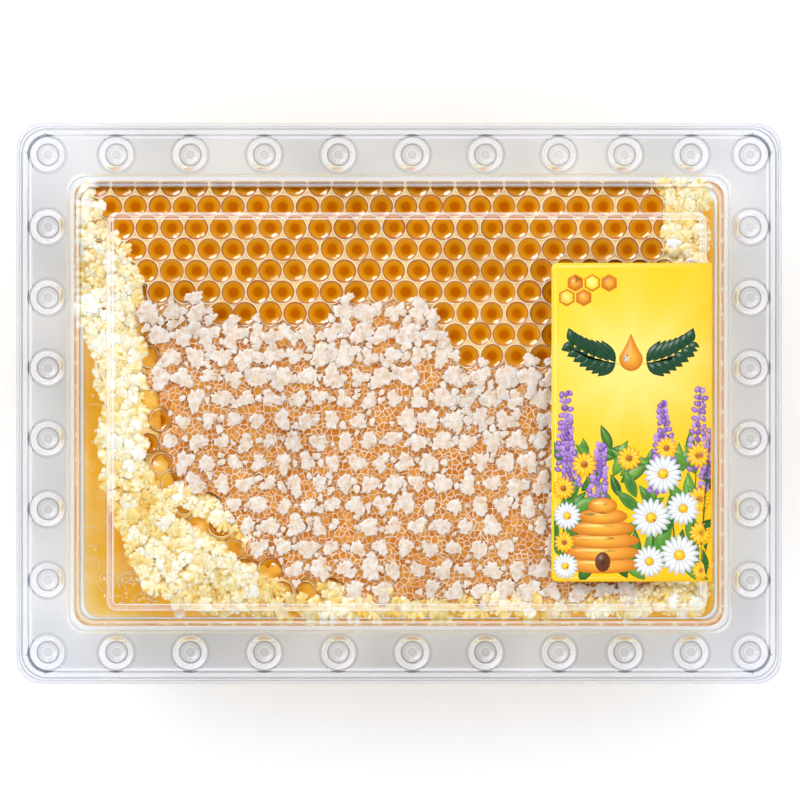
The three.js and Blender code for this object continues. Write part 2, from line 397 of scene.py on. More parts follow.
@dataclass(frozen=True)
class CappedHoney:
    """Honey under a torn capping, netted with thin white lines of wax."""

    name: str = "capped honey"
    honey: tuple[Colour, Colour] = (srgb(200, 114, 18), srgb(224, 152, 58))
    line: Colour = srgb(252, 238, 216)
    mesh_scale: float = 800
    line_core: float = 0.02
    line_width: float = 0.12
    warp: float = 0.0011
    warp_scale: float = 500
    # Where the net fades out: the scale of the patches, and the noise from which and to which it fades
    patches: Step = (240, 0.36, 0.6)
    faintest: float = 0.5

    def material(self) -> Material:
        """Builds the finish's material.

        Returns:
            The material.
        """
        graph = Graph(self.name)
        warp = graph.node("TexNoise", {"Vector": graph.place(), "Scale": self.warp_scale, "Detail": 2.0})
        bent = graph.node("VectorMath", {0: warp.outputs["Color"], 1: (self.warp,) * 3}, operation="MULTIPLY")
        moved = graph.node("VectorMath", {0: graph.place(), 1: bent.outputs[0]}, operation="ADD")
        net = {"Vector": moved.outputs[0], "Scale": self.mesh_scale}
        cells = graph.node("TexVoronoi", net, feature="DISTANCE_TO_EDGE", voronoi_dimensions="2D")
        shades = graph.node("TexVoronoi", net, voronoi_dimensions="2D")
        level = graph.node("SeparateColor", {0: shades.outputs["Color"]}).outputs[0]
        base = graph.blend(level, *self.honey)
        gap = {"Value": cells.outputs["Distance"], "From Min": self.line_core, "From Max": self.line_width}
        edge = graph.node("MapRange", gap)
        scale, low, high = self.patches
        fade = {"Value": graph.noise(scale), "From Min": low, "From Max": high, "To Min": self.faintest}
        patchy = graph.node("MapRange", fade)
        line = graph.work_out("SUBTRACT", 1.0, edge.outputs[0])
        lines = graph.work_out("MULTIPLY", line, patchy.outputs[0])
        surface = graph.node(
            "BsdfPrincipled",
            {
                "Base Color": graph.blend(lines, base, self.line),
                "Roughness": 0.4,
                "Specular IOR Level": 0.1,
                "Coat Weight": 0.35,
                "Coat Roughness": 0.08,
                "Normal": graph.bump(lines, 0.5, 0.0003),
            },
        )
        return graph.end(surface.outputs[0])


@dataclass(frozen=True)
class Printed:
    """Printed paper whose ink is held by the mesh."""

    name: str = "printed paper"

    def material(self) -> Material:
        """Builds the finish's material.

        Returns:
            The material.
        """
        graph = Graph(self.name)
        ink = graph.node("Attribute", attribute_name="ink").outputs["Color"]
        paper = graph.node(
            "BsdfPrincipled",
            {
                "Base Color": ink,
                "Roughness": 0.45,
                "Specular IOR Level": 0.2,
                "Normal": graph.bump(graph.noise(2500, 3.0), 0.08, 0.0001),
            },
        )
        return graph.end(paper.outputs[0])


def stops(*rows: tuple[float, int, int, int]) -> Stops:
    """Gives stops from places and colours as seen on a screen."""
    return tuple((place, srgb(*colour)) for place, *colour in rows)


RIM_WAX = Wax(
    "rim wax",
    stops((0.0, 204, 124, 24), (0.3, 234, 192, 104), (0.6, 248, 228, 166), (1.0, 255, 252, 228)),
    glow=0.15,
    grain=0.12,
)
CAPPING_WAX = Wax(
    "capping wax",
    stops((0.0, 196, 124, 48), (0.35, 208, 162, 114), (0.55, 221, 195, 167), (0.9, 238, 228, 216)),
    grain=1.0,
)
CRUMBLED_WAX = Wax(
    "crumbled wax",
    stops(
        (0.0, 226, 144, 12),
        (0.2, 238, 182, 56),
        (0.42, 246, 214, 122),
        (0.6, 253, 240, 198),
        (0.78, 255, 253, 242),
    ),
    glow=0.2,
    grain=0.15,
)
CUT_SIDE = Wax(
    "cut side",
    stops((0.0, 232, 154, 22), (0.3, 242, 184, 64), (0.7, 252, 226, 156), (1.0, 255, 244, 208)),
    roughness=0.25,
    grain=0.2,
)
FLOATING_WAX = Wax(
    "floating wax", stops((0.0, 246, 206, 120), (0.8, 255, 240, 200), (1.0, 255, 250, 228))
)
CELL_HONEY = Honey(
    "cell honey",
    stops(
        (0.0, 182, 88, 0),
        (0.3, 194, 106, 0),
        (0.5, 210, 134, 0),
        (0.8, 218, 146, 6),
        (0.93, 204, 122, 0),
        (1.0, 178, 88, 0),
    ),
    swirl=0.1,
    swirl_scale=420,
)
POOL_HONEY = Honey(
    "pool honey",
    stops((0.0, 242, 172, 28), (0.45, 252, 198, 66), (0.7, 254, 214, 116), (1.0, 255, 238, 188)),
    swirl=0.9,
    swirl_scale=140,
)


# Mesh making


class MeshPile:
    """Points in millimetres, faces and the numbers that each point holds, gathered into one mesh."""

    def __init__(self) -> None:
        """Starts with nothing."""
        self.points: list[Array] = []
        self.faces: list[Face] = []
        self.tones: list[Array] = []
        self.count = 0

    def add(self, points: Array, faces: Iterable[Sequence[int]], tone: Array | float = 1.0) -> None:
        """Adds a form.

        Args:
            points: Its points, one row each.
            faces: Its faces, as numbers of those rows.
            tone: A number for each point or for all. A row of four is a colour.
        """
        points = np.asarray(points, float).reshape(-1, 3)
        start = self.count
        self.points.append(points)
        self.faces.extend(tuple(start + i for i in face) for face in faces)
        tone = np.asarray(tone, float)
        width = 4 if tone.ndim and tone.shape[-1] == 4 else 1
        self.tones.append(np.broadcast_to(tone.reshape(-1, width), (len(points), width)))
        self.count += len(points)

    def build(self, name: str, weld: bool = False) -> Piece:
        """Makes one smooth object of all the forms.

        Args:
            name: The object's name.
            weld: Whether points that lie on each other become one.

        Returns:
            The new object.
        """
        mesh = bpy.data.meshes.new(name)
        mesh.from_pydata((np.concatenate(self.points) * MM).tolist(), [], self.faces)
        tones = np.concatenate(self.tones)
        if tones.shape[1] == 4:
            ink = mesh.attributes.new("ink", "FLOAT_COLOR", "POINT")
            ink.data.foreach_set("color", tones.ravel())
        else:
            tone = mesh.attributes.new("tone", "FLOAT", "POINT")
            tone.data.foreach_set("value", tones.ravel())
        if weld:
            form = bmesh.new()
            form.from_mesh(mesh)
            bmesh.ops.remove_doubles(form, verts=form.verts, dist=2e-3 * MM)
            bmesh.ops.dissolve_degenerate(form, edges=form.edges, dist=1e-4 * MM)
            form.to_mesh(mesh)
            form.free()
        mesh.shade_smooth()
        made = bpy.data.objects.new(name, mesh)
        bpy.context.scene.collection.objects.link(made)
        return made


def strip_faces(rings: int, size: int, first: int = 0, closed: bool = True) -> list[Face]:
    """Lists the quads that join rings of points to each other.

    Args:
        rings: How many rings there are.
        size: How many points a ring has.
        first: The number of the first point.
        closed: Whether a ring's last point joins its first.

    Returns:
        One row of four numbers for each quad.
    """
    faces = []
    for ring in range(rings - 1):
        for i in range(size if closed else size - 1):
            a, b = first + ring * size + i, first + ring * size + (i + 1) % size
            faces.append((a, b, b + size, a + size))
    return faces


def add_radial(
    pile: MeshPile,
    middles: Array,
    rings: Sequence[Array],
    heights: Sequence[Array],
    tones: Sequence[Array],
    fan: tuple[bool, bool] = (True, True),
) -> None:
    """Adds many round forms, each a stack of rings about its own upright axis.

    Args:
        pile: Where they go.
        middles: The axes' places, one row of X and Y each.
        rings: For each ring, its points' offsets from their axes, by form, point and X or Y.
        heights: For each ring, its points' heights, by form and point.
        tones: For each ring, its points' tones, in the same order.
        fan: Whether the first and the last ring are filled.
    """
    level, shade = np.stack(heights, axis=1), np.stack(tones, axis=1)
    count, layers, size = level.shape
    places = np.empty((count, layers, size, 3))
    places[..., :2] = middles[:, None, None, :] + np.stack(rings, axis=1)
    places[..., 2] = level
    for form in range(count):
        points, tone = places[form].reshape(-1, 3), shade[form].reshape(-1)
        faces = strip_faces(layers, size)
        for ring, is_filled in ((0, fan[0]), (layers - 1, fan[1])):
            if not is_filled:
                continue
            pole = len(points)
            rim = slice(ring * size, (ring + 1) * size)
            points = np.vstack([points, points[rim].mean(axis=0)])
            tone = np.append(tone, tone[rim].mean())
            for i in range(size):
                a, b = ring * size + i, ring * size + (i + 1) % size
                faces.append((pole, b, a) if ring == 0 else (pole, a, b))
        pile.add(points, faces, tone)


def dress(
    piece: Piece, material: Material, slot: Slot, *nodes: str
) -> Piece:
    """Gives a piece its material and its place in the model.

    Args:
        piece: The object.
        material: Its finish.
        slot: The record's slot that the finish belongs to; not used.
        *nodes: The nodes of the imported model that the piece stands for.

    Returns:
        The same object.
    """
    piece.data.materials.clear()
    piece.data.materials.append(material)
    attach(piece, BODY)
    if nodes:
        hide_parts(*nodes)
    log.info("%s: %d faces", piece.name, len(piece.data.polygons))
    return piece


def unit_circle(steps: int) -> Array:
    """Gives points round a circle of radius 1, one row of X and Y each."""
    turn = np.linspace(0, 2 * math.pi, steps, endpoint=False)
    return np.stack([np.cos(turn), np.sin(turn)], axis=1)


def rounded_outline(reach: Point, radius: float, steps: int, middle: Point = (0.0, 0.0)) -> Array:
    """Gives the points round a rectangle with rounded corners.

    Args:
        reach: Half its length along X and along Y.
        radius: The corners' radius.
        steps: How many stretches each corner has.
        middle: Its middle.

    Returns:
        One row of X and Y for each point, turning left from +X.
    """
    rows = []
    for quarter, (sx, sy) in enumerate(((1, 1), (-1, 1), (-1, -1), (1, -1))):
        angle = (quarter + np.linspace(0, 1, steps + 1)) * math.pi / 2
        rows.append(
            np.stack(
                [
                    middle[0] + sx * (reach[0] - radius) + radius * np.cos(angle),
                    middle[1] + sy * (reach[1] - radius) + radius * np.sin(angle),
                ],
                axis=1,
            )
        )
    return np.concatenate(rows)


def inside(points: Array, outline: Sequence[Point]) -> Array:
    """Says which points lie inside an outline.

    Args:
        points: One row of X and Y each.
        outline: The outline's corners.

    Returns:
        True or False for each point.
    """
    found = np.zeros(len(points), bool)
    for (ax, ay), (bx, by) in zip(outline, list(outline[1:]) + [outline[0]]):
        if ay == by:
            continue
        crosses = (ay > points[:, 1]) != (by > points[:, 1])
        found ^= crosses & (points[:, 0] < ax + (bx - ax) * (points[:, 1] - ay) / (by - ay))
    return found


def distance_to_path(points: Array, path: Sequence[Point]) -> Array:
    """Gives how far points lie from a path of straight stretches.

    Args:
        points: One row of X and Y each.
        path: The path's points.

    Returns:
        One distance for each point.
    """
    nearest = np.full(len(points), np.inf)
    for start, stop in zip(path, path[1:]):
        run = np.subtract(stop, start)
        share = np.clip((points - start) @ run / (run @ run), 0, 1)
        gap = points - start - share[:, None] * run
        nearest = np.minimum(nearest, np.hypot(gap[:, 0], gap[:, 1]))
    return nearest


# The clear case


@dataclass
class CaseForm:
    """What the lid and the tray share: the outline, and the snap cups round the flange."""

    half: Point = (84.0, 61.5)
    corner: float = 5.4
    corner_shrink: float = 0.15
    corner_steps: int = 12
    sheet: float = 0.5
    cup_inset: float = 6.8
    cups_x: tuple[float, ...] = (-62.1, -45.9, -29.6, -13.3, 2.9, 19.0, 35.1, 49.6, 64.2)
    cups_y: tuple[float, ...] = (-38.8, -23.2, -7.7, 7.8, 23.3, 38.8)
    cup_steps: int = 40
    cup_mouth: float = 4.0
    # From the mouth to the middle: the share of the mouth's radius, how far down, and how milky, or dark
    # under nought; the milky rings are painted highlights and the dark ones painted dark lines
    cup_run: tuple[Step, ...] = (
        (0.985, 0.02, -1.0),
        (0.94, 0.1, -1.0),
        (0.91, 0.24, 0.6),
        (0.86, 0.6, 0.25),
        (0.72, 1.6, 0.16),
        (0.65, 2.0, 0.4),
        (0.62, 2.2, 0.2),
        (0.59, 2.26, -0.8),
        (0.54, 2.24, -0.2),
        (0.42, 2.1, -0.16),
        (0.34, 2.04, -0.16),
        (0.26, 2.0, 0.0),
        (0.22, 2.0, -0.26),
        (0.14, 2.0, -0.18),
    )
    # From the middle to the mouth: share of the radius, and how much painted highlight is added on a cup's
    # near right wall
    cup_painted_gleam: tuple[Point, ...] = (
        (0.28, 0.0), (0.34, 1.4), (0.46, 1.4), (0.52, 0.0), (0.66, 0.0), (0.74, 0.9), (0.9, 0.9), (0.94, 0.0),
    )
    # Which way the painted highlight on each cup faces
    painted_gleam_side: Point = (0.64, -0.77)

    def outline(self, inset: float) -> Array:
        """Gives the case's outline, so far in from its edge."""
        reach = (self.half[0] - inset, self.half[1] - inset)
        return rounded_outline(reach, self.corner - self.corner_shrink * inset, self.corner_steps)

    def inset_of(self, places: Array) -> Array:
        """Finds how far in from the case's edge places lie.

        Args:
            places: One row of X and Y each.

        Returns:
            One inset for each place.
        """
        deepest, halvings = 20.0, 40
        low, high = np.zeros(len(places)), np.full(len(places), deepest)
        for _ in range(halvings):
            middle = (low + high) / 2
            radius = self.corner - self.corner_shrink * middle
            beyond = np.abs(places) - (np.array(self.half) - middle[:, None] - radius[:, None])
            outer = np.hypot(*np.maximum(beyond, 0).T) + np.minimum(beyond.max(axis=1), 0) - radius
            low, high = np.where(outer <= 0, middle, low), np.where(outer <= 0, high, middle)
        return low

    def cup_places(self) -> list[Point]:
        """Lists where the snap cups stand.

        Returns:
            One place for each cup.
        """
        x, y = self.half[0] - self.cup_inset, self.half[1] - self.cup_inset
        places = [(along, side * y) for along in (-x, *self.cups_x, x) for side in (1, -1)]
        return places + [(side * x, along) for along in self.cups_y for side in (1, -1)]


@dataclass
class SheetHalf:
    """One half of the case, as a face that is then given the sheet's thickness."""

    form: CaseForm
    run: tuple[Step, ...]
    # The insets that the flange lies between
    flange: tuple[float, float]
    level: float
    mouth: float
    cup_haze: float = 1.0
    # The darkest that the edge of a cup's mouth gets
    mouth_least: float = -0.2
    pile: MeshPile = field(default_factory=MeshPile)

    def on_flange(self, inset: Array | float, part: int) -> Array | float:
        """Gives the flange's height (part 1) or milkiness (part 2), so far in from the edge."""
        rows = [step for step in self.run if self.flange[0] <= step[0] <= self.flange[1]]
        return np.interp(inset, [row[0] for row in rows], [row[part] for row in rows])

    def loft(self, rings: Sequence[Array], is_closed: bool = False) -> None:
        """Joins rings of points, and fills the last one if asked.

        Args:
            rings: The rings, one row of X, Y, Z and milkiness for each point.
            is_closed: Whether the last ring is filled.
        """
        size = len(rings[0])
        faces: list[Face] = strip_faces(len(rings), size)
        if is_closed:
            faces.append(tuple(range((len(rings) - 1) * size, len(rings) * size)))
        rows = np.concatenate(rings)
        self.pile.add(rows[:, :3], faces, rows[:, 3])

    def ring(self, inset: float, z: float, haze: float) -> Array:
        """Gives the case's outline at an inset, a height and a milkiness."""
        outline = self.form.outline(inset)
        return np.column_stack([outline, np.full((len(outline), 2), (z, haze))])

    def make_flange(self) -> None:
        """Adds the flange with its round mouths, and a cup in each."""
        circle = self.mouth * unit_circle(self.form.cup_steps)
        places = np.array(self.form.cup_places())
        insets = [step[0] for step in self.run if self.flange[0] <= step[0] <= self.flange[1]]
        loops = [self.form.outline(inset) for inset in insets]
        outer, inner = loops[0], loops[-1]
        loops += [place + circle for place in places]
        edges, start = [], 0
        for loop in loops:
            edges += [(start + i, start + (i + 1) % len(loop)) for i in range(len(loop))]
            start += len(loop)
        flat = [Vector(point) for point in np.concatenate(loops)]
        found = delaunay_2d_cdt(flat, edges, [], 0, 1e-6)
        points = np.array([tuple(point) for point in found[0]])
        kept = []
        for face in found[2]:
            middle = points[list(face)].mean(axis=0)
            gaps = np.hypot(*(places - middle).T)
            is_inner = inside(middle[None], inner)[0]
            if inside(middle[None], outer)[0] and not is_inner and gaps.min() > self.mouth * 0.995:
                kept.append(tuple(face))
        inset = self.form.inset_of(points)
        rows = np.column_stack([points, self.on_flange(inset, 1), self.on_flange(inset, 2)])
        gaps = np.hypot(*(places[:, None] - points).transpose(2, 0, 1)).min(axis=0)
        is_mouth = gaps < self.mouth * 1.001
        rows[is_mouth, 3] = np.maximum(rows[is_mouth, 3], self.mouth_least)
        self.pile.add(rows[:, :3], kept, rows[:, 3])
        for place in places:
            self.make_cup(place, points, rows)

    def make_cup(self, place: Array, points: Array, rows: Array) -> None:
        """Adds one cup, hung from the flange's own points round its mouth.

        Args:
            place: The cup's axis.
            points: The flange's points.
            rows: The same points with their heights and milkiness.
        """
        gap = points - place
        far = np.hypot(gap[:, 0], gap[:, 1])
        least = self.mouth * math.cos(math.pi / self.form.cup_steps)
        rim = np.where((far > least - 1e-4) & (far < self.mouth + 1e-4))[0]
        rim = rim[np.argsort(np.arctan2(gap[rim, 1], gap[rim, 0]))]
        rings = [rows[rim]]
        # Painted highlight: the walls that face the near right are made milkier
        painted_gleam_share = np.maximum(gap[rim] @ self.form.painted_gleam_side / far[rim], 0) ** 4
        for share, drop, haze in self.form.cup_run:
            ring = place + gap[rim] * share
            haze = (haze + painted_gleam_share * np.interp(share, *zip(*self.form.cup_painted_gleam))) * self.cup_haze
            rings.append(np.column_stack([ring, np.full(len(rim), self.level - drop), haze]))
        self.loft(rings, is_closed=True)

    def thicken(self, name: str) -> Piece:
        """Turns the face into a sheet.

        Args:
            name: The piece's name.

        Returns:
            The piece.
        """
        piece = self.pile.build(name, weld=True)
        form = bmesh.new()
        form.from_mesh(piece.data)
        bmesh.ops.recalc_face_normals(form, faces=form.faces)
        top = max(form.faces, key=lambda face: face.calc_area())
        if top.normal.z < 0:
            bmesh.ops.reverse_faces(form, faces=form.faces)
        form.to_mesh(piece.data)
        form.free()
        solid = piece.modifiers.new("thickness", "SOLIDIFY")
        solid.thickness = self.form.sheet * MM
        solid.offset = -1
        solid.use_even_offset = True
        level = piece.modifiers.new("level faces", "WEIGHTED_NORMAL")
        level.weight = 80
        apply_modifiers(piece)
        return piece


def apply_modifiers(piece: Piece) -> None:
    """Replaces a piece's mesh by the one that its modifiers make.

    Args:
        piece: The object.
    """
    graph = bpy.context.evaluated_depsgraph_get()
    mesh = bpy.data.meshes.new_from_object(piece.evaluated_get(graph))
    piece.modifiers.clear()
    piece.data = mesh


@dataclass
class CaseLid:
    """The lid: skirt, rolled rim, slope, flange with cups, bead, dome and raised panel."""

    form: CaseForm
    flange_top: float = 29.2
    land: float = 33.4
    # From the skirt to the land: inset, height, and how milky, or dark under nought; the milky bands are
    # painted highlights, the dark ones painted dark lines on the bends, and the flange's slight darkness is
    # painted shade
    run: tuple[Step, ...] = (
        (0.0, 26.4, -0.3),
        (0.0, 29.9, -0.6),
        (0.1, 30.25, 0.35),
        (0.35, 30.52, 0.65),
        (0.58, 30.59, 0.3),
        (0.76, 30.6, -0.9),
        (0.95, 30.58, 0.3),
        (1.2, 30.48, 0.4),
        (1.42, 30.2, -0.9),
        (1.65, 30.0, 0.25),
        (2.2, 29.95, 0.25),
        (2.45, 29.95, 0.15),
        (2.65, 29.93, -0.8),
        (2.85, 29.88, 0.55),
        (3.25, 29.62, 0.7),
        (3.48, 29.38, 0.3),
        (3.66, 29.28, -0.8),
        (3.9, 29.2, -0.14),
        (10.9, 29.2, -0.14),
        (11.05, 29.3, 0.4),
        (11.35, 29.65, 0.55),
        (11.6, 29.82, -0.7),
        (11.8, 29.85, 0.3),
        (12.25, 29.85, 0.35),
        (12.5, 29.88, 0.65),
        (12.72, 30.05, 0.45),
        (12.9, 30.4, -0.55),
        (13.3, 32.4, 0.22),
        (13.5, 32.95, 0.45),
        (13.75, 33.25, 0.5),
        (14.05, 33.37, -0.6),
        (14.4, 33.4, 0.0),
    )
    panel_middle: Point = (1.7, -1.8)
    panel_half: Point = (65.7, 43.6)
    panel_corner: float = 2.2
    # From the panel's foot to its top: inset, rise over the land, and how milky, or dark under nought; these
    # are painted highlights and painted dark lines on the bevel
    panel_run: tuple[Step, ...] = (
        (-0.3, 0.0, 0.0),
        (-0.12, 0.02, -0.35),
        (0.03, 0.08, 0.7),
        (0.2, 0.2, 0.4),
        (0.6, 0.5, 0.25),
        (0.95, 0.8, 0.35),
        (1.13, 0.92, -0.4),
        (1.3, 0.97, 1.0),
        (1.47, 0.99, 0.6),
        (1.6, 1.0, 0.0),
    )
    stud_places: tuple[Point, ...] = ((-48.0, -46.0), (-25.7, -46.0), (33.4, -46.0), (62.1, -46.0))
    # From the foot to the crown: radius and height over the land
    stud_run: tuple[Point, ...] = ((1.3, 0.02), (1.3, 0.25), (1.15, 0.38), (0.9, 0.4), (0.8, 0.3))
    stud_haze: float = 0.3
    stud_steps: int = 24

    def panel_ring(self, inset: float, rise: float, haze: float) -> Array:
        """Gives the raised panel's outline.

        Args:
            inset: How far in from the panel's foot.
            rise: How far over the land.
            haze: How milky.

        Returns:
            One row of X, Y, Z and milkiness for each point.
        """
        reach = (self.panel_half[0] - inset, self.panel_half[1] - inset)
        steps = self.form.corner_steps
        outline = rounded_outline(reach, max(self.panel_corner - inset, 0.4), steps, self.panel_middle)
        return np.column_stack([outline, np.full((len(outline), 2), (self.land + rise, haze))])

    def build(self) -> Piece:
        """Makes the lid as one piece.

        Returns:
            The lid's sheet.
        """
        half = SheetHalf(self.form, self.run, (2.65, 10.9), self.flange_top, self.form.cup_mouth)
        half.loft([half.ring(*step) for step in self.run if step[0] <= half.flange[0]])
        half.make_flange()
        inner = [half.ring(*step) for step in self.run if step[0] >= half.flange[1]]
        half.loft(inner + [self.panel_ring(*step) for step in self.panel_run], is_closed=True)
        return half.thicken("lid_sheet")

    def build_studs(self) -> Piece:
        """Makes the small round studs on the near edge of the land.

        Returns:
            The studs.
        """
        pile = MeshPile()
        unit = unit_circle(self.stud_steps)
        radii, rise = np.array(self.stud_run).T
        middles = np.array(self.stud_places)
        shape = (len(middles), len(unit))
        rings = [np.broadcast_to(radius * unit, (*shape, 2)) for radius in radii]
        heights = [np.full(shape, self.land + up) for up in rise]
        add_radial(pile, middles, rings, heights, np.full_like(heights, self.stud_haze))
        return pile.build("lid_studs")

    def dress(self, finish: Material) -> list[Piece]:
        """Makes the lid's pieces, gives them their finish and lists them."""
        sheet = dress(self.build(), finish, Slot.CLEAR, "case_lid")
        return [sheet, dress(self.build_studs(), finish, Slot.CLEAR)]


@dataclass
class CaseTray:
    """The tray: turned-down edge, flange with nested cups, drafted walls and a floor on a foot band."""

    form: CaseForm
    flange_top: float = 28.6
    # From the turned-down edge to the floor: inset, height, and how milky, or dark under nought; the milky
    # bands on the bends are painted highlights and the flange's slight darkness is painted shade
    run: tuple[Step, ...] = (
        (0.6, 26.9, 0.1),
        (0.6, 28.2, 0.05),
        (0.75, 28.5, 0.2),
        (1.1, 28.6, 0.05),
        (2.65, 28.6, -0.06),
        (12.4, 28.6, -0.06),
        (13.3, 28.6, 0.3),
        (13.75, 28.5, 0.8),
        (14.0, 28.1, 0.75),
        (14.03, 27.3, 0.5),
        (14.05, 26.4, 0.08),
        (14.3, 11.5, 0.04),
        (14.45, 3.2, 0.04),
        (14.55, 2.0, 0.1),
        (14.95, 1.2, 0.1),
        (15.7, 0.72, 0.1),
        (16.6, 0.5, 0.0),
        (18.6, 0.5, 0.0),
        (18.9, 0.6, 0.1),
        (19.5, 1.0, 0.1),
        (19.8, 1.1, 0.0),
    )
    cup_spread: float = 0.35

    def build(self) -> Piece:
        """Makes the tray as one piece.

        Returns:
            The tray's sheet.
        """
        mouth = self.form.cup_mouth + self.cup_spread
        half = SheetHalf(self.form, self.run, (2.65, 12.4), self.flange_top, mouth, 0.3)
        half.loft([half.ring(*step) for step in self.run if step[0] <= half.flange[0]])
        half.make_flange()
        half.loft([half.ring(*step) for step in self.run if step[0] >= half.flange[1]], is_closed=True)
        return half.thicken("tray_sheet")

    def dress(self, finish: Material) -> list[Piece]:
        """Makes the tray, gives it its finish and lists it."""
        return [dress(self.build(), finish, Slot.CLEAR, "case_tray")]


# The comb


@dataclass
class CombLayout:
    """Where the comb's cells lie and what each is like."""

    pitch: float = 5.4
    phase: Point = (-3.9, 33.8)
    rim: float = 31.4
    cut_edge: float = 47.3
    reach: Point = (75.0, 52.0)
    # The slab's outline from above
    outline: tuple[Point, ...] = (
        (-68.8, 46.5), (-69.0, 30.0), (-68.9, 22.7), (-67.6, 14.8), (-66.0, 7.4), (-64.1, 0.3),
        (-64.6, -9.1), (-64.1, -16.6), (-61.7, -21.2), (-59.9, -27.8), (-58.2, -34.1), (-54.7, -39.2),
        (-49.8, -42.5), (-41.5, -44.6), (-30.0, -45.6), (66.0, -45.2), (66.4, 46.5),
    )
    # Inside this the face is whole, and outside it crumbled
    whole_face: tuple[Point, ...] = (
        (-68.2, 47.3), (-64.0, 40.2), (-60.4, 33.1), (-57.4, 26.5), (-56.4, 12.8), (-55.5, 0.8),
        (-54.7, -9.1), (-52.9, -17.2), (-42.6, -20.7), (-35.3, -25.6), (-30.1, -33.9), (-21.7, -39.2),
        (-8.6, -41.8), (15.6, -42.7), (39.7, -42.7), (56.2, -40.9), (60.8, -34.4), (60.8, 22.7),
        (59.0, 35.9), (58.2, 46.9),
    )
    # Beyond this line along Y the cells stand open
    open_edge: tuple[Point, ...] = (
        (-70.0, 22.0), (-42.0, 22.0), (-40.0, 17.5), (-16.0, 17.5), (-13.0, 22.0), (7.0, 22.0),
        (10.0, 12.5), (18.0, 8.0), (70.0, 8.0),
    )
    # Along these paths the cells are torn
    trenches: tuple[tuple[Point, ...], ...] = (
        ((-55.8, 17.0), (-54.4, 0.8), (-54.2, -10.2), (-51.5, -18.0)),
        ((-48.1, -23.8), (-40.4, -27.8), (-33.8, -33.3), (-27.2, -37.6), (-19.0, -41.5)),
    )
    trench_half_width: float = 2.3
    # Places beyond this along Y are looked up here, so that the cut cells count
    last_sure: float = 46.0

    @property
    def row_pitch(self) -> float:
        """The distance between two rows of cells."""
        return self.pitch * math.sqrt(3) / 2

    def middles(self) -> Array:
        """Lists the middles of all the cells within reach.

        Returns:
            One row of X and Y each.
        """
        rows = []
        count = math.ceil(2 * self.reach[1] / self.row_pitch)
        for row in range(-count, count + 1):
            y = self.phase[1] - row * self.row_pitch
            if abs(y) > self.reach[1]:
                continue
            shift = (abs(row) % 2) * self.pitch / 2
            steps = np.arange(-30, 31)
            x = self.phase[0] + shift + steps * self.pitch
            rows += [(along, y) for along in x if abs(along) < self.reach[0]]
        return np.array(rows)

    def kinds(self, places: Array) -> Array:
        """Says what kind of cell lies at each place.

        Args:
            places: One row of X and Y each.

        Returns:
            One kind for each place.
        """
        found = np.full(len(places), CellKind.CAPPED, dtype=object)
        edge = np.interp(places[:, 0], *zip(*self.open_edge))
        found[places[:, 1] > edge] = CellKind.OPEN
        beyond = places[:, 1] > self.whole_face[0][1] - 0.5
        low = np.column_stack([places[:, 0], np.where(beyond, self.whole_face[0][1] - 1.0, places[:, 1])])
        found[~inside(low, self.whole_face)] = CellKind.CRUMBLED
        for path in self.trenches:
            found[distance_to_path(places, path) < self.trench_half_width] = CellKind.TORN
        return found

    def within(self, places: Array) -> Array:
        """Says which places lie within the slab, along its cut edge too."""
        return inside(np.minimum(places, [np.inf, self.last_sure]), self.outline)

    def whole(self, places: Array) -> Array:
        """Says which places lie where the face is whole.

        Args:
            places: One row of X and Y each.

        Returns:
            True or False for each place.
        """
        low = np.minimum(places, [np.inf, self.last_sure])
        return inside(low, self.whole_face) & (self.kinds(places) != CellKind.TORN)

    def cells(self, kind: CellKind) -> Array:
        """Lists the middles of the comb's cells of one kind.

        Args:
            kind: The kind.

        Returns:
            One row of X and Y each.
        """
        places = self.middles()
        low = np.minimum(places, [np.inf, self.cut_edge - 1.0])
        is_within = inside(low, self.outline) & (places[:, 1] < self.cut_edge + 0.5 * self.pitch)
        return places[is_within & (self.kinds(places) == kind)]

    def hexagon(self, steps: int) -> Array:
        """Gives points round a cell's six sides.

        Args:
            steps: How many stretches a side has.

        Returns:
            One row of X and Y each, about the cell's middle.
        """
        corner = np.radians(30 + 60 * np.arange(7))
        corners = self.pitch / math.sqrt(3) * np.stack([np.cos(corner), np.sin(corner)], axis=1)
        share = np.arange(steps)[None, :, None] / steps
        return mix(corners[:-1, None], corners[1:, None], share).reshape(-1, 2)


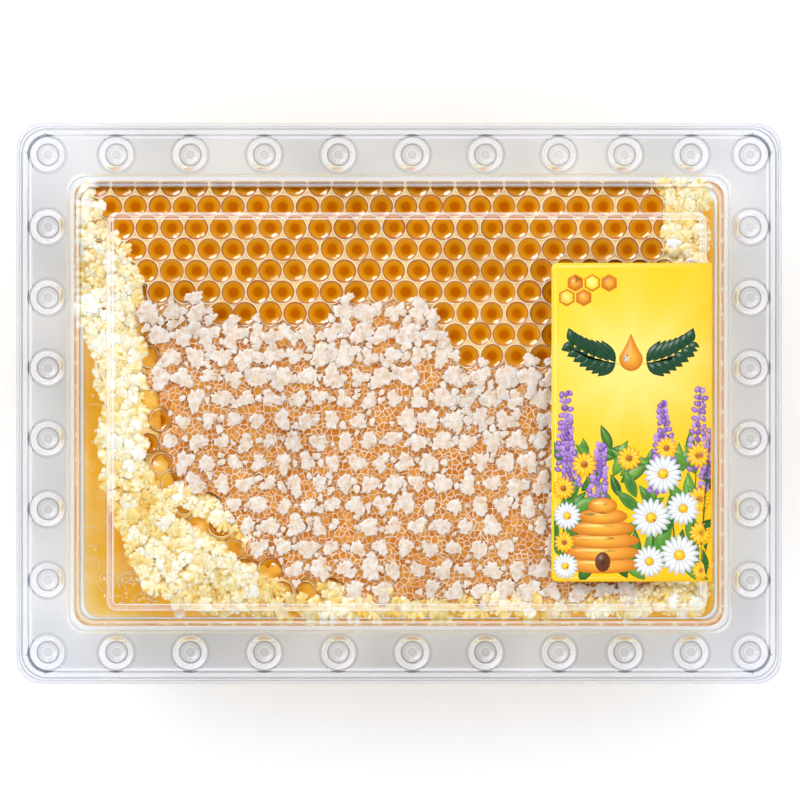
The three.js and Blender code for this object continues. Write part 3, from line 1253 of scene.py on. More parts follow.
@dataclass
class CellMouths:
    """Cells that stand open: wax rims round each mouth, and the honey that stands in them."""

    layout: CombLayout
    name: str
    middles: Array
    # How far the mouths lie below the face, are off their middles, vary in width, and how clean they are
    sink: float = 0.0
    spread: float = 0.06
    uneven: float = 0.02
    clean: float = 0.0
    mouth: float = 2.62
    side_steps: int = 4
    # From the cell's side to the well's floor: how near the mouth's circle, height, and tone
    wax_run: tuple[Step, ...] = (
        (1.08, -0.02, 0.42),
        (1.055, 0.08, 0.6),
        (1.03, 0.17, 1.0),
        (1.0, 0.1, 0.8),
        (0.985, -0.3, 0.05),
        (0.97, -3.1, 0.0),
    )
    # From the well's wall to its middle: share of the radius, height, and tone
    honey_run: tuple[Step, ...] = (
        (0.9, -3.0, 0.9),
        (0.99, -0.27, 1.0),
        (0.95, -0.33, 0.97),
        (0.89, -0.42, 0.88),
        (0.82, -0.51, 0.8),
        (0.74, -0.6, 0.72),
        (0.65, -0.67, 0.64),
        (0.55, -0.72, 0.56),
        (0.47, -0.75, 0.48),
        (0.41, -0.76, 0.24),
        (0.32, -0.77, 0.1),
        (0.15, -0.77, 0.04),
    )

    def __post_init__(self) -> None:
        """Draws each cell's small differences."""
        rng = np.random.default_rng(11)
        count = len(self.middles)
        self.shift = rng.normal(0, self.spread, (count, 2))
        self.stretch = 1 + rng.normal(-self.uneven / 2, self.uneven, (count, 2))
        self.depth = rng.normal(-self.sink, 0.05 + self.sink * 0.3, count)
        self.shade = rng.normal(0, 0.035, count)

    def circle(self, share: float) -> Array:
        """Gives each cell's mouth, scaled, with its points in line with the cell's sides.

        Args:
            share: The share of the mouth's radius.

        Returns:
            Each point's offset from its cell's middle, by cell, point and X or Y.
        """
        side = self.layout.hexagon(self.side_steps)
        turn = np.arctan2(side[:, 1], side[:, 0])
        unit = np.stack([np.cos(turn), np.sin(turn)], axis=1)
        return self.shift[:, None] + self.mouth * share * self.stretch[:, None] * unit

    def cut(self, across: Array) -> Array:
        """Holds points behind the slab's cut far edge.

        Args:
            across: Each point's offset from its cell's middle.

        Returns:
            The offsets, held.
        """
        most = self.layout.cut_edge - self.middles[:, 1]
        held = across.copy()
        held[..., 1] = np.minimum(held[..., 1], most[:, None])
        return held

    def build_rims(self) -> Piece:
        """Makes the wax round the open mouths.

        Returns:
            The rims.
        """
        side = self.layout.hexagon(self.side_steps)
        places = self.middles[:, None] + side
        count, size = places.shape[:2]
        rings = [self.cut(np.broadcast_to(side, (count, size, 2)))]
        dip = 0.1 * soft_noise(places[..., 0], places[..., 1], 1.3, 3)
        level = self.layout.rim + (self.depth if self.sink else 0 * self.depth)[:, None]
        heights = [level - 0.08 - dip]
        tones = [0.3 + self.clean + 0.2 * place_noise(places[..., 0], places[..., 1], 5)]
        for share, rise, tone in self.wax_run:
            circle = self.circle(share)
            # Keeps a rim within its own cell where two mouths nearly touch
            limit = 0.985 * np.hypot(*side.T) / np.maximum(np.hypot(circle[..., 0], circle[..., 1]), 1e-6)
            circle = circle * np.minimum(limit, 1)[..., None]
            rings.append(self.cut(circle))
            rough = (0.06 + self.sink * 0.25) * place_noise(circle[..., 0], circle[..., 1], share)
            heights.append(level + rise + (rough if rise > 0 else 0))
            tones.append(np.full((count, size), tone + self.clean))
        heights = [np.broadcast_to(height, (count, size)) for height in heights]
        pile = MeshPile()
        add_radial(pile, self.middles, rings, heights, tones, fan=(False, True))
        return pile.build(f"{self.name}_rims", weld=True)

    def build_honey(self) -> Piece:
        """Makes the honey in the open cells, drawn up at the walls.

        Returns:
            The honey.
        """
        rings, heights, tones = [], [], []
        for share, rise, tone in self.honey_run:
            circle = self.circle(share)
            rings.append(self.cut(circle))
            level = self.layout.rim + rise + self.depth[:, None]
            heights.append(np.broadcast_to(level, circle.shape[:2]))
            wobble = 0.04 * place_noise(circle[..., 0], circle[..., 1], 9)
            tones.append(tone + self.shade[:, None] + wobble)
        pile = MeshPile()
        add_radial(pile, self.middles, rings, heights, tones)
        return pile.build(f"{self.name}_honey", weld=True)


@dataclass
class Cappings:
    """The capped cells: wet honey under torn cappings, and a ragged white flake over each cell."""

    layout: CombLayout
    # From the foot of a hump's side to its crown: share of the cell, and rise
    bed_run: tuple[Point, ...] = ((0.98, -2.6), (1.0, 0.0), (0.8, 0.16), (0.5, 0.26), (0.2, 0.3))
    flake_points: int = 33
    flake_reach: float = 2.5
    flake_grain: float = 62.0
    # From the underside's edge to the crown: share of the reach, rise, and tone
    flake_run: tuple[Step, ...] = (
        (0.9, -0.3, 0.1),
        (1.0, -0.08, 0.5),
        (0.9, 0.06, 0.78),
        (0.6, 0.1, 0.66),
        (0.26, 0.12, 0.74),
    )
    # Where flakes are thin: the middle, how far that reaches along X and Y, and how much
    thin_spots: tuple[tuple[float, ...], ...] = ((-33, -12, 16, 16, 1.0), (10, -27, 24, 10, 0.7))
    # Where flakes lie closer: how far below the open cells
    crowded: float = 18.0

    def build_bed(self) -> Piece:
        """Makes the low humps of honey that lie under the flakes.

        Returns:
            The humps.
        """
        middles = self.layout.cells(CellKind.CAPPED)
        side = self.layout.hexagon(3)
        rings, heights = [], []
        for share, rise in self.bed_run:
            places = middles[:, None] + side * share
            bumps = 0.3 * soft_noise(places[..., 0], places[..., 1], 1.1, 7) - 0.35
            rings.append(np.broadcast_to(side * share, places.shape))
            heights.append(self.layout.rim + rise + bumps)
        pile = MeshPile()
        add_radial(pile, middles, rings, heights, np.ones_like(heights), fan=(False, True))
        return pile.build("cap_bed", weld=True)

    def flakes(self, pile: MeshPile, middles: Array, reach: Array, level: float, seed: int) -> None:
        """Adds flat ragged flakes, each torn by uneven bites and drawn out a little to one side.

        Args:
            pile: Where they go.
            middles: Their middles.
            reach: How far each one spreads.
            level: The height they lie at.
            seed: Starts the random draws.
        """
        rng = np.random.default_rng(seed)
        count, size = len(middles), self.flake_points
        turn = np.linspace(0, 2 * math.pi, size, endpoint=False) + rng.normal(0, 0.04, (count, size))
        phases = rng.uniform(0, 2 * math.pi, (5, count, 1))
        broad = 0.12 * np.sin(2 * turn + phases[0]) + 0.11 * np.sin(3 * turn + phases[1])
        swing = 0.55 * np.sin(turn + phases[2]) + 0.35 * np.sin(2 * turn + phases[3])
        bite = np.abs(np.sin(rng.integers(7, 12, (count, 1)) * turn / 2 + swing + phases[4]))
        deep = 0.24 + 0.18 * np.sin(3 * turn - phases[2]) * np.sin(phases[3])
        edge = 0.96 + broad - deep * bite + rng.normal(0, 0.06, (count, size))
        grain = np.radians(self.flake_grain) + rng.normal(0, 0.5, (count, 1))
        along = np.stack([np.cos(grain), np.sin(grain)], axis=-1)
        unit = np.stack([np.cos(turn), np.sin(turn)], axis=-1)
        drawn = rng.uniform(0.0, 0.24, (count, 1, 1))
        unit = unit * (1 - drawn / 2) + 1.5 * drawn * along * (unit * along).sum(axis=-1, keepdims=True)
        lean = rng.normal(0, 0.03, (count, 1, 2))
        lift = level + rng.normal(0, 0.05, (count, 1))
        rings, heights, tones = [], [], []
        for share, rise, clean in self.flake_run:
            # Inner rings are rounder than the torn edge
            across = unit * (mix(0.72, edge, share**2) * reach[:, None] * share)[..., None]
            rings.append(across)
            tilt = (across * lean).sum(axis=-1)
            rough = 0.1 * soft_noise(*(middles[:, None] + across).transpose(2, 0, 1), 0.7, seed)
            heights.append(lift + rise * np.sqrt(reach / self.flake_reach)[:, None] + tilt + rough)
            tones.append(clean + rng.normal(0, 0.09, (count, size)))
        add_radial(pile, middles, rings, heights, tones)

    def build_flakes(self) -> Piece:
        """Makes the white flakes, one a cell, with smaller ones between.

        Returns:
            The flakes.
        """
        rng = np.random.default_rng(23)
        middles = self.layout.cells(CellKind.CAPPED)
        x, y = middles.T
        edge = np.interp(x, *zip(*self.layout.open_edge))
        near_top = np.clip(1 - (edge - y) / self.crowded, 0, 1)
        thin = np.zeros(len(middles))
        for along, up, half_x, half_y, much in self.thin_spots:
            thin += much * np.exp(-(((x - along) / half_x) ** 2 + ((y - up) / half_y) ** 2))
        is_there = rng.random(len(middles)) < 0.97
        kept = middles[is_there] + rng.normal(0, 0.22, (is_there.sum(), 2))
        reach = self.flake_reach * (0.84 + 0.34 * rng.random(len(kept)) + 0.1 * near_top[is_there])
        reach *= 1 - 0.14 * thin[is_there]
        pile = MeshPile()
        self.flakes(pile, kept, reach, self.layout.rim + 0.26, 31)
        # Small scraps lie where cells meet, most of them near the open ones
        steps = ((0.0, 1 / math.sqrt(3)), (0.0, -1 / math.sqrt(3)), (0.5, 0.0))
        corners = np.concatenate([middles + np.multiply(step, self.layout.pitch) for step in steps])
        wanted = np.concatenate([np.tile(0.24 + 0.7 * near_top**1.5, 2), 0.85 - 0.3 * thin])
        is_scrap = rng.random(len(corners)) < wanted
        scraps = corners[is_scrap] + rng.normal(0, 0.35, (is_scrap.sum(), 2))
        reach = rng.uniform(0.6, 1.35, len(scraps)) * (0.85 + 0.8 * np.tile(near_top, 3)[is_scrap])
        self.flakes(pile, scraps, reach, self.layout.rim + 0.36, 37)
        return pile.build("cap_flakes")


@dataclass
class CrumbBank:
    """The crumbled edge: petalled lumps of torn wax in a loose heap."""

    layout: CombLayout
    top: float = 32.5
    # From the underside to the crown: share of the reach, rise as a share of the reach, and tone
    run: tuple[Step, ...] = (
        (0.72, -0.55, 0.0),
        (0.96, -0.25, 0.55),
        (1.0, -0.05, 1.0),
        (0.88, 0.2, 0.92),
        (0.64, 0.38, 0.84),
        (0.34, 0.46, 0.88),
    )
    # For each layer: name, lumps, spacing, least sink, its spread, least and most reach, points, seed
    layers: tuple[tuple[str, int, float, float, float, float, float, int, int], ...] = (
        ("wax_crumbs_low", 430, 2.0, 0.6, 0.5, 1.8, 3.1, 30, 43),
        ("wax_crumbs_high", 470, 1.75, 0.1, 0.6, 1.1, 2.3, 30, 47),
    )
    tries: int = 30000

    def places(self, rng: np.random.Generator, count: int, spacing: float) -> Array:
        """Draws where lumps lie, none nearer to another than their spacing.

        Args:
            rng: The random draws.
            count: The most lumps there are.
            spacing: The least distance between two.

        Returns:
            One row of X and Y each.
        """
        kept: list[Array] = []
        tries = rng.uniform([-70.0, -48.0], [69.0, 47.2], (self.tries, 2))
        is_edge = self.layout.within(tries) & (self.layout.kinds(tries) == CellKind.CRUMBLED)
        for place in tries[is_edge]:
            if len(kept) == count:
                break
            if not kept or np.min(np.hypot(*(np.array(kept) - place).T)) > spacing:
                kept.append(place)
        return np.array(kept)

    def lumps(
        self, middles: Array, reach: Array, sink: Array, size: int, seed: int
    ) -> MeshPile:
        """Makes petalled lumps.

        Args:
            middles: Their middles.
            reach: How far each one spreads.
            sink: How far each one lies below the heap's top.
            size: How many points go round each one.
            seed: Starts the random draws.

        Returns:
            The lumps.
        """
        rng = np.random.default_rng(seed)
        count = len(middles)
        lobes = rng.integers(5, 8, (count, 1))
        turn = np.linspace(0, 2 * math.pi, size, endpoint=False) + rng.normal(0, 0.04, (count, size))
        swing = 0.35 * np.sin(turn + rng.uniform(0, 6, (count, 1)))
        swing += 0.2 * np.sin(2 * turn + rng.uniform(0, 6, (count, 1)))
        phase = lobes * turn / (2 * math.pi) + swing + rng.uniform(0, 1, (count, 1))
        petal = np.sqrt(np.abs(np.sin(math.pi * phase)))
        length = 0.74 + 0.4 * place_noise(np.floor(phase) % lobes, middles[:, :1])
        edge = 0.3 + 0.7 * length * (0.78 + 0.22 * petal)
        unit = np.stack([np.cos(turn), np.sin(turn)], axis=-1)
        lean = rng.normal(0, 0.3, (count, 1, 2))
        left = np.clip((-middles[:, :1] - 38) / 22, 0, 1) * np.clip((middles[:, 1:] + 30) / 30, 0, 1)
        base = 0.75 + 0.12 * left - 0.18 * sink[:, None] + rng.normal(0, 0.08, (count, 1))
        crown = self.run[-1][1]
        rings, heights, tones = [], [], []
        for share, rise, clean in self.run:
            across = unit * (edge * reach[:, None] * share)[..., None]
            rings.append(across)
            crease = 0.3 * (petal - 0.8) * share**2 * reach[:, None] + rng.normal(0, 0.07, (count, size))
            tilt = (across * lean).sum(axis=-1)
            z = self.top - sink[:, None] + (rise - crown) * reach[:, None] + tilt + crease
            heights.append(np.minimum(z, self.top))
            # Painted shade: the wax darkens towards amber in the creases between petals, most near each
            # lump's edge
            shade = 0.8 * (petal - 0.82) * share**2 + 0.3 * (clean - 0.85)
            tones.append(base * (0.4 + 0.6 * clean) + shade + rng.normal(0, 0.04, (count, size)))
        pile = MeshPile()
        add_radial(pile, middles, rings, heights, tones)
        return pile

    def build(self) -> list[Piece]:
        """Makes the big lumps below and the small ones on them.

        Returns:
            One piece for each layer.
        """
        rng = np.random.default_rng(41)
        pieces = []
        for name, count, spacing, least, spread, small, large, points, seed in self.layers:
            middles = self.places(rng, count, spacing)
            sink = least + 1.5 * soft_noise(*middles.T, 5.0, 3) + rng.uniform(0, spread, len(middles))
            reach = rng.uniform(small, large, len(middles))
            pieces.append(self.lumps(middles, reach, sink, points, seed).build(name))
        return pieces


@dataclass
class CombCore:
    """The slab below its face: cut sides of full cells between upright walls, and a torn bed on top."""

    layout: CombLayout
    floor: float = 1.3
    lip: float = 30.6
    deep: float = 27.9
    bed: float = 29.4
    bed_lumps: float = 1.3
    bulge: float = 0.35
    rows: int = 26
    grid: float = 0.85

    def side_points(self) -> tuple[Array, Array, Array]:
        """Gives points close together round the slab's outline.

        Returns:
            The points, which way is out at each, and how far along each is, counted in cells.
        """
        corners = np.array(self.layout.outline + (self.layout.outline[0],))
        stretch = np.hypot(*np.diff(corners, axis=0).T)
        marks = np.concatenate([[0], np.cumsum(stretch)])
        cells = round(marks[-1] / self.layout.pitch)
        along = np.linspace(0, marks[-1], cells * 8, endpoint=False)
        places = np.column_stack([np.interp(along, marks, corners[:, i]) for i in (0, 1)])
        ahead = np.roll(places, -2, axis=0) - np.roll(places, 2, axis=0)
        out = np.column_stack([ahead[:, 1], -ahead[:, 0]]) / np.hypot(*ahead.T)[:, None]
        centre = places.mean(axis=0)
        out *= np.sign(((places - centre) * out).sum(axis=1))[:, None]
        return places, out, along / marks[-1] * cells

    def add_top(self, pile: MeshPile, border: Array) -> None:
        """Adds the top: a lumpy bed where the face is torn away, and a sunken floor under the rest.

        Args:
            pile: Where it goes.
            border: The top's outline.
        """
        columns, rows = np.arange(-68, 68, self.grid), np.arange(-46, 47, self.grid)
        tries = np.stack(np.meshgrid(columns, rows), axis=-1).reshape(-1, 2)
        marks = np.round(tries / self.grid)
        is_coarse = (marks.sum(axis=1) % 4 == 0) & (marks[:, 0] % 2 == 0)
        gap = distance_to_path(tries, [tuple(row) for row in border] + [tuple(border[0])])
        tries = tries[inside(tries, border) & (gap > 0.5) & (~self.layout.whole(tries) | is_coarse)]
        every = np.concatenate([border, tries])
        edges = [(i, (i + 1) % len(border)) for i in range(len(border))]
        found = delaunay_2d_cdt([Vector(point) for point in every], edges, [], 1, 1e-6)
        points = np.array([tuple(point) for point in found[0]])
        lumps = soft_noise(*points.T, 2.4, 17) * 0.7 + soft_noise(*points.T, 0.9, 19) * 0.3
        z = np.where(self.layout.whole(points), self.deep, self.bed + self.bed_lumps * lumps)
        on_border = np.min(np.hypot(*(points[:, None] - border[None]).transpose(2, 0, 1)), axis=1) < 1e-4
        z[on_border] = self.lip
        tone = 0.02 + 0.5 * lumps**2 + 0.1 * place_noise(*points.T, 4)
        pile.add(np.column_stack([points, z]), [tuple(face) for face in found[2]], tone)

    def build(self) -> Piece:
        """Makes the slab's core.

        Returns:
            The core.
        """
        places, out, cell = self.side_points()
        size = len(places)
        column = np.abs(np.sin(np.pi * cell))
        rows, tones = [], []
        for z in np.linspace(self.floor, self.lip, self.rows):
            height = (z - self.floor) / (self.lip - self.floor)
            midrib = math.exp(-(((height - 0.5) / 0.03) ** 2))
            drift = soft_noise(cell, np.full(size, z * 0.15), 1.0, 13)
            swell = self.bulge * column**0.5 * (1 - midrib) * (0.6 + 0.8 * drift)
            rows.append(np.column_stack([places + out * (swell - self.bulge)[:, None], np.full(size, z)]))
            wall = np.clip(1 - column / 0.42, 0, 1)
            tones.append(np.clip(np.maximum(wall, midrib) + 0.22 * drift - 0.05, 0, 1))
        faces: list[Face] = strip_faces(len(rows), size)
        faces.append(tuple(range(size))[::-1])
        pile = MeshPile()
        pile.add(np.concatenate(rows), faces, np.concatenate(tones))
        self.add_top(pile, rows[-1][:, :2])
        return pile.build("comb_sides", weld=True)


@dataclass
class Comb:
    """The whole slab of comb."""

    layout: CombLayout
    torn_reach: float = 4.5

    def torn_middles(self) -> Array:
        """Lists the torn cells and those of the crumbled ones that lie against the whole face.

        Returns:
            One row of X and Y each.
        """
        torn, crumbled = (self.layout.cells(kind) for kind in (CellKind.TORN, CellKind.CRUMBLED))
        face = self.layout.whole_face
        near = distance_to_path(crumbled, face + (face[0],)) < self.torn_reach
        return np.concatenate([torn, crumbled[near]])

    def dress(self) -> None:
        """Makes the comb's pieces and gives them their finishes."""
        rim, honey, crumbled = RIM_WAX.material(), CELL_HONEY.material(), CRUMBLED_WAX.material()
        dress(CombCore(self.layout).build(), CUT_SIDE.material(), Slot.WAX, "comb")
        cells = CellMouths(self.layout, "open", self.layout.cells(CellKind.OPEN))
        torn = CellMouths(
            self.layout,
            "torn",
            self.torn_middles(),
            sink=1.0,
            spread=0.25,
            uneven=0.08,
            clean=-0.15,
            mouth=2.4,
        )
        for mouths in (cells, torn):
            dress(mouths.build_rims(), rim, Slot.WAX, "comb")
            dress(mouths.build_honey(), honey, Slot.HONEY, "comb")
        caps = Cappings(self.layout)
        dress(caps.build_bed(), CappedHoney().material(), Slot.HONEY, "comb")
        dress(caps.build_flakes(), CAPPING_WAX.material(), Slot.WAX, "comb")
        for piece in CrumbBank(self.layout).build():
            dress(piece, crumbled, Slot.WAX, "comb")


@dataclass
class HoneyPool:
    """The drained honey round the foot of the comb."""

    form: CaseForm
    layout: CombLayout
    level: float = 11.5
    floor: float = 1.15
    wall_inset: float = 14.25
    # Where the pool ends under the comb, as a share of the comb's own reach
    under_comb: float = 0.985
    steps: int = 720
    # The share of the way from the wall to the comb, and the rise, where the honey is drawn up the wall
    wall_run: tuple[Point, ...] = ((0.0, 0.25), (0.02, 0.06), (0.08, 0.0))
    flat_shares: tuple[float, ...] = (0.3, 0.6, 1.0)
    scrap_line: float = 0.09
    # Where scraps and bubbles float: left, low, right, high, and how many scraps
    scrap_fields: tuple[tuple[float, float, float, float, int], ...] = (
        (-65.0, -44.2, -57.5, -38.6, 11),
        (-57.5, -44.6, -52.5, -42.0, 4),
        (-68.2, -36.0, -66.6, 6.0, 5),
        (67.4, -40.0, 68.2, 40.0, 2),
    )
    # From a bubble's foot to its crown: share of its radius, and rise as a share of it
    bubble_run: tuple[Point, ...] = ((1.0, -0.1), (1.0, 0.12), (0.86, 0.4), (0.5, 0.62))

    def build(self) -> Piece:
        """Makes the pool from the tray's wall in to just under the comb.

        Returns:
            The pool.
        """
        steps, ways = self.steps, unit_circle(self.steps)
        outer = self.ray_points(self.form.outline(self.wall_inset), ways)
        inner = self.ray_points(np.array(self.layout.outline), ways) * self.under_comb
        run = [(0.0, self.floor, 1.0)]
        run += [(share, self.level + rise, 1.0 - 3 * share) for share, rise in self.wall_run]
        run += [(share, self.level, 0.5) for share in self.flat_shares]
        run.append((1.0, self.floor, 0.5))
        rows = [np.column_stack([mix(outer, inner, share), np.full(steps, z)]) for share, z, _ in run]
        tones = [np.full(steps, tone) for _, _, tone in run]
        pile = MeshPile()
        faces = strip_faces(len(rows), steps)
        last = (len(rows) - 1) * steps
        faces += [(last + i, last + (i + 1) % steps, (i + 1) % steps, i) for i in range(steps)]
        pile.add(np.concatenate(rows), faces, np.concatenate(tones))
        return pile.build("pool_honey")

    def add_arc(self, pile: MeshPile, middle: Array, reach: float, start: float, sweep: float) -> None:
        """Adds a thin curved scrap of a cell's edge, which floats on the honey.

        Args:
            pile: Where it goes.
            middle: The middle of the cell that it came from.
            reach: That cell's radius.
            start: The angle at which it starts.
            sweep: How far round it goes.
        """
        steps, sides = 14, 5
        along = np.linspace(start, start + sweep, steps)
        out = np.stack([np.cos(along), np.sin(along)], axis=1)
        wobble = 1 + 0.07 * np.sin(3 * along)
        around = np.linspace(0, 2 * math.pi, sides, endpoint=False)
        swell = self.scrap_line * np.cos(around)[None, :, None]
        flat = middle + out[:, None] * (reach * wobble)[:, None, None] + out[:, None] * swell
        z = np.broadcast_to(self.level + self.scrap_line * (0.6 + np.sin(around)), (steps, sides))
        faces: list[Face] = strip_faces(steps, sides)
        faces += [tuple(range(sides))[::-1], tuple(range((steps - 1) * sides, steps * sides))]
        pile.add(np.concatenate([flat, z[..., None]], axis=-1), faces, 0.85)

    def build_scraps(self) -> Piece:
        """Makes the scraps of wax on the honey.

        Returns:
            The scraps.
        """
        rng = np.random.default_rng(53)
        pile = MeshPile()
        for left, low, right, high, count in self.scrap_fields:
            for _ in range(count):
                middle = np.array([rng.uniform(left, right), rng.uniform(low, high)])
                self.add_arc(pile, middle, rng.uniform(1.2, 2.6), rng.uniform(0, 6.3), rng.uniform(1.0, 4.6))
        return pile.build("pool_scraps")

    def build_bubbles(self) -> Piece:
        """Makes the small bubbles that stand on the honey.

        Returns:
            The bubbles.
        """
        rng = np.random.default_rng(59)
        spots = []
        for left, low, right, high, count in self.scrap_fields:
            spots.append(rng.uniform((left, low), (right, high), (count * 2, 2)))
        middles = np.concatenate(spots)
        reach = rng.uniform(0.18, 0.5, len(middles))[:, None]
        unit = unit_circle(12)
        rings = [(reach * radius)[..., None] * unit for radius, _ in self.bubble_run]
        heights = [self.level + 0.02 + reach * rise * np.ones(len(unit)) for _, rise in self.bubble_run]
        pile = MeshPile()
        add_radial(pile, middles, rings, heights, np.full_like(heights, 0.9))
        return pile.build("pool_bubbles")

    def ray_points(self, outline: Array, ways: Array) -> Array:
        """Finds where rays from the middle meet an outline.

        Args:
            outline: The outline's corners.
            ways: The rays' ways, one row of X and Y each.

        Returns:
            One row of X and Y for each ray.
        """
        far = np.zeros(len(ways))
        for start, stop in zip(outline, np.roll(outline, -1, axis=0)):
            run = stop - start
            cross = ways[:, 0] * run[1] - ways[:, 1] * run[0]
            cross = np.where(np.abs(cross) < 1e-9, 1e-9, cross)
            reach = (start[0] * run[1] - start[1] * run[0]) / cross
            share = (start[0] * ways[:, 1] - start[1] * ways[:, 0]) / cross
            is_hit = (share >= -1e-6) & (share <= 1 + 1e-6) & (reach > 0)
            far = np.where(is_hit, np.maximum(far, reach), far)
        return ways * far[:, None]

    def dress(self) -> None:
        """Makes the pool's pieces and gives them their finishes."""
        honey = POOL_HONEY.material()
        dress(self.build(), honey, Slot.HONEY, "honey_pool")
        dress(self.build_bubbles(), honey, Slot.HONEY)
        dress(self.build_scraps(), FLOATING_WAX.material(), Slot.WAX)


# The label


def leaf_outline(
    length: float, width: float, steps: int = 7, skew: float = 0.85, blunt: float = 1.0
) -> Array:
    """Gives the outline of a pointed leaf that lies along X from nought.

    Args:
        length: Its length.
        width: Its greatest width.
        steps: How many stretches each side has.
        skew: Where it is widest: nearer its foot if under 1, nearer its tip if over.
        blunt: How round its tip is: rounder if under 1.

    Returns:
        One row of X and Y each.
    """
    share = np.linspace(0, 1, steps + 1)
    half = width / 2 * np.sin(math.pi * share**skew) ** blunt
    upper = np.column_stack([length * share, half])
    return np.concatenate([upper[:-1], (upper * [1, -1])[::-1][:-1]])


def round_outline(reach: Point, steps: int = 12, start: float = 0.0) -> Array:
    """Gives an oval's outline about nought, or a many-sided form's if the steps are few."""
    turn = np.linspace(0, 2 * math.pi, steps, endpoint=False) + start
    return np.column_stack([reach[0] * np.cos(turn), reach[1] * np.sin(turn)])


def turned(outline: Array, angle: float) -> Array:
    """Turns an outline about nought, by an angle in degrees."""
    c, s = math.cos(math.radians(angle)), math.sin(math.radians(angle))
    return outline @ np.array([[c, s], [-s, c]])


@dataclass
class Label:
    """The printed sheet on the lid."""

    left: float = 33.4
    right: float = 68.6
    bottom: float = -39.0
    top: float = 30.8
    corner: float = 1.2
    thickness: float = 0.08
    # From left to right: place along X and the face's height
    run: tuple[Point, ...] = (
        (33.4, 34.42),
        (65.9, 34.42),
        (66.3, 34.27),
        (67.3, 33.5),
        (67.6, 33.44),
        (68.6, 33.44),
    )
    columns: int = 32
    rows: int = 66
    yellow: Colour = srgb(243, 200, 26)
    deep: Colour = srgb(240, 184, 0)
    pale: Colour = srgb(246, 226, 136)
    glow_middle: Point = (51.0, 8.0)
    glow_reach: Point = (15.0, 11.0)
    beams: int = 9

    def ground_ink(self, x: Array, y: Array) -> Array:
        """Gives the ground's colour: warm yellow with a pale glow in the middle.

        Args:
            x: Places along X.
            y: Places along Y.

        Returns:
            A colour for each place, with four parts.
        """
        yellow, deep, pale = (np.array(colour) for colour in (self.yellow, self.deep, self.pale))
        side = np.clip((x - self.left) / (self.right - self.left), 0, 1)[..., None]
        low = np.clip((self.top - y) / (self.top - self.bottom), 0, 1)[..., None]
        ground = mix(yellow, deep, np.clip(0.7 * side + 0.5 * low - 0.15, 0, 1))
        right, up = x - self.glow_middle[0], y - self.glow_middle[1]
        gap = np.hypot(right / self.glow_reach[0], up / self.glow_reach[1])[..., None]
        beam = np.clip(np.sin(self.beams * np.arctan2(up, right)) * 2, 0, 1)[..., None]
        glow = np.exp(-(gap**2)) * 0.7 + 0.2 * beam * np.exp(-gap / 1.5) * np.clip(gap, 0, 1)
        return np.concatenate([mix(ground, pale, glow), np.ones_like(side)], axis=-1)

    def height(self, x: Array) -> Array:
        """Gives the height of the sheet's printed side."""
        return np.interp(x, *zip(*self.run)) + self.thickness

    def build_sheet(self) -> Piece:
        """Makes the sheet itself.

        Returns:
            The sheet.
        """
        arc = self.corner * (1 - np.cos(np.linspace(0, math.pi / 2, 6)))
        marks = [x for x, _ in self.run[1:]]
        even = np.linspace(self.left + 1.4, marks[0], self.columns)
        xs = np.unique(np.concatenate([self.left + arc, even, marks]))
        drop = np.clip(self.corner - (xs - self.left), 0, None)
        trim = self.corner - np.sqrt(np.maximum(self.corner**2 - drop**2, 0))
        share = np.linspace(0, 1, self.rows)[:, None]
        y = mix(self.bottom + trim, self.top - trim, share)
        x = np.broadcast_to(xs, y.shape)
        upper = np.stack([x, y, self.height(x)], axis=-1)
        under = upper - [0, 0, self.thickness]
        rows, columns = y.shape
        faces = []
        count = rows * columns
        for r in range(rows - 1):
            for c in range(columns - 1):
                a = r * columns + c
                faces.append((a, a + 1, a + columns + 1, a + columns))
                faces.append((count + a + columns, count + a + columns + 1, count + a + 1, count + a))
        rim = list(range(columns)) + [(r + 1) * columns - 1 for r in range(1, rows)]
        rim += [(rows - 1) * columns + c for c in range(columns - 2, -1, -1)]
        rim += [r * columns for r in range(rows - 2, 0, -1)]
        for a, b in zip(rim, rim[1:] + rim[:1]):
            faces.append((b, a, count + a, count + b))
        ink = self.ground_ink(x, y).reshape(-1, 4)
        pile = MeshPile()
        points = np.concatenate([upper.reshape(-1, 3), under.reshape(-1, 3)])
        pile.add(points, faces, np.concatenate([ink, ink]))
        return pile.build("label_sheet")


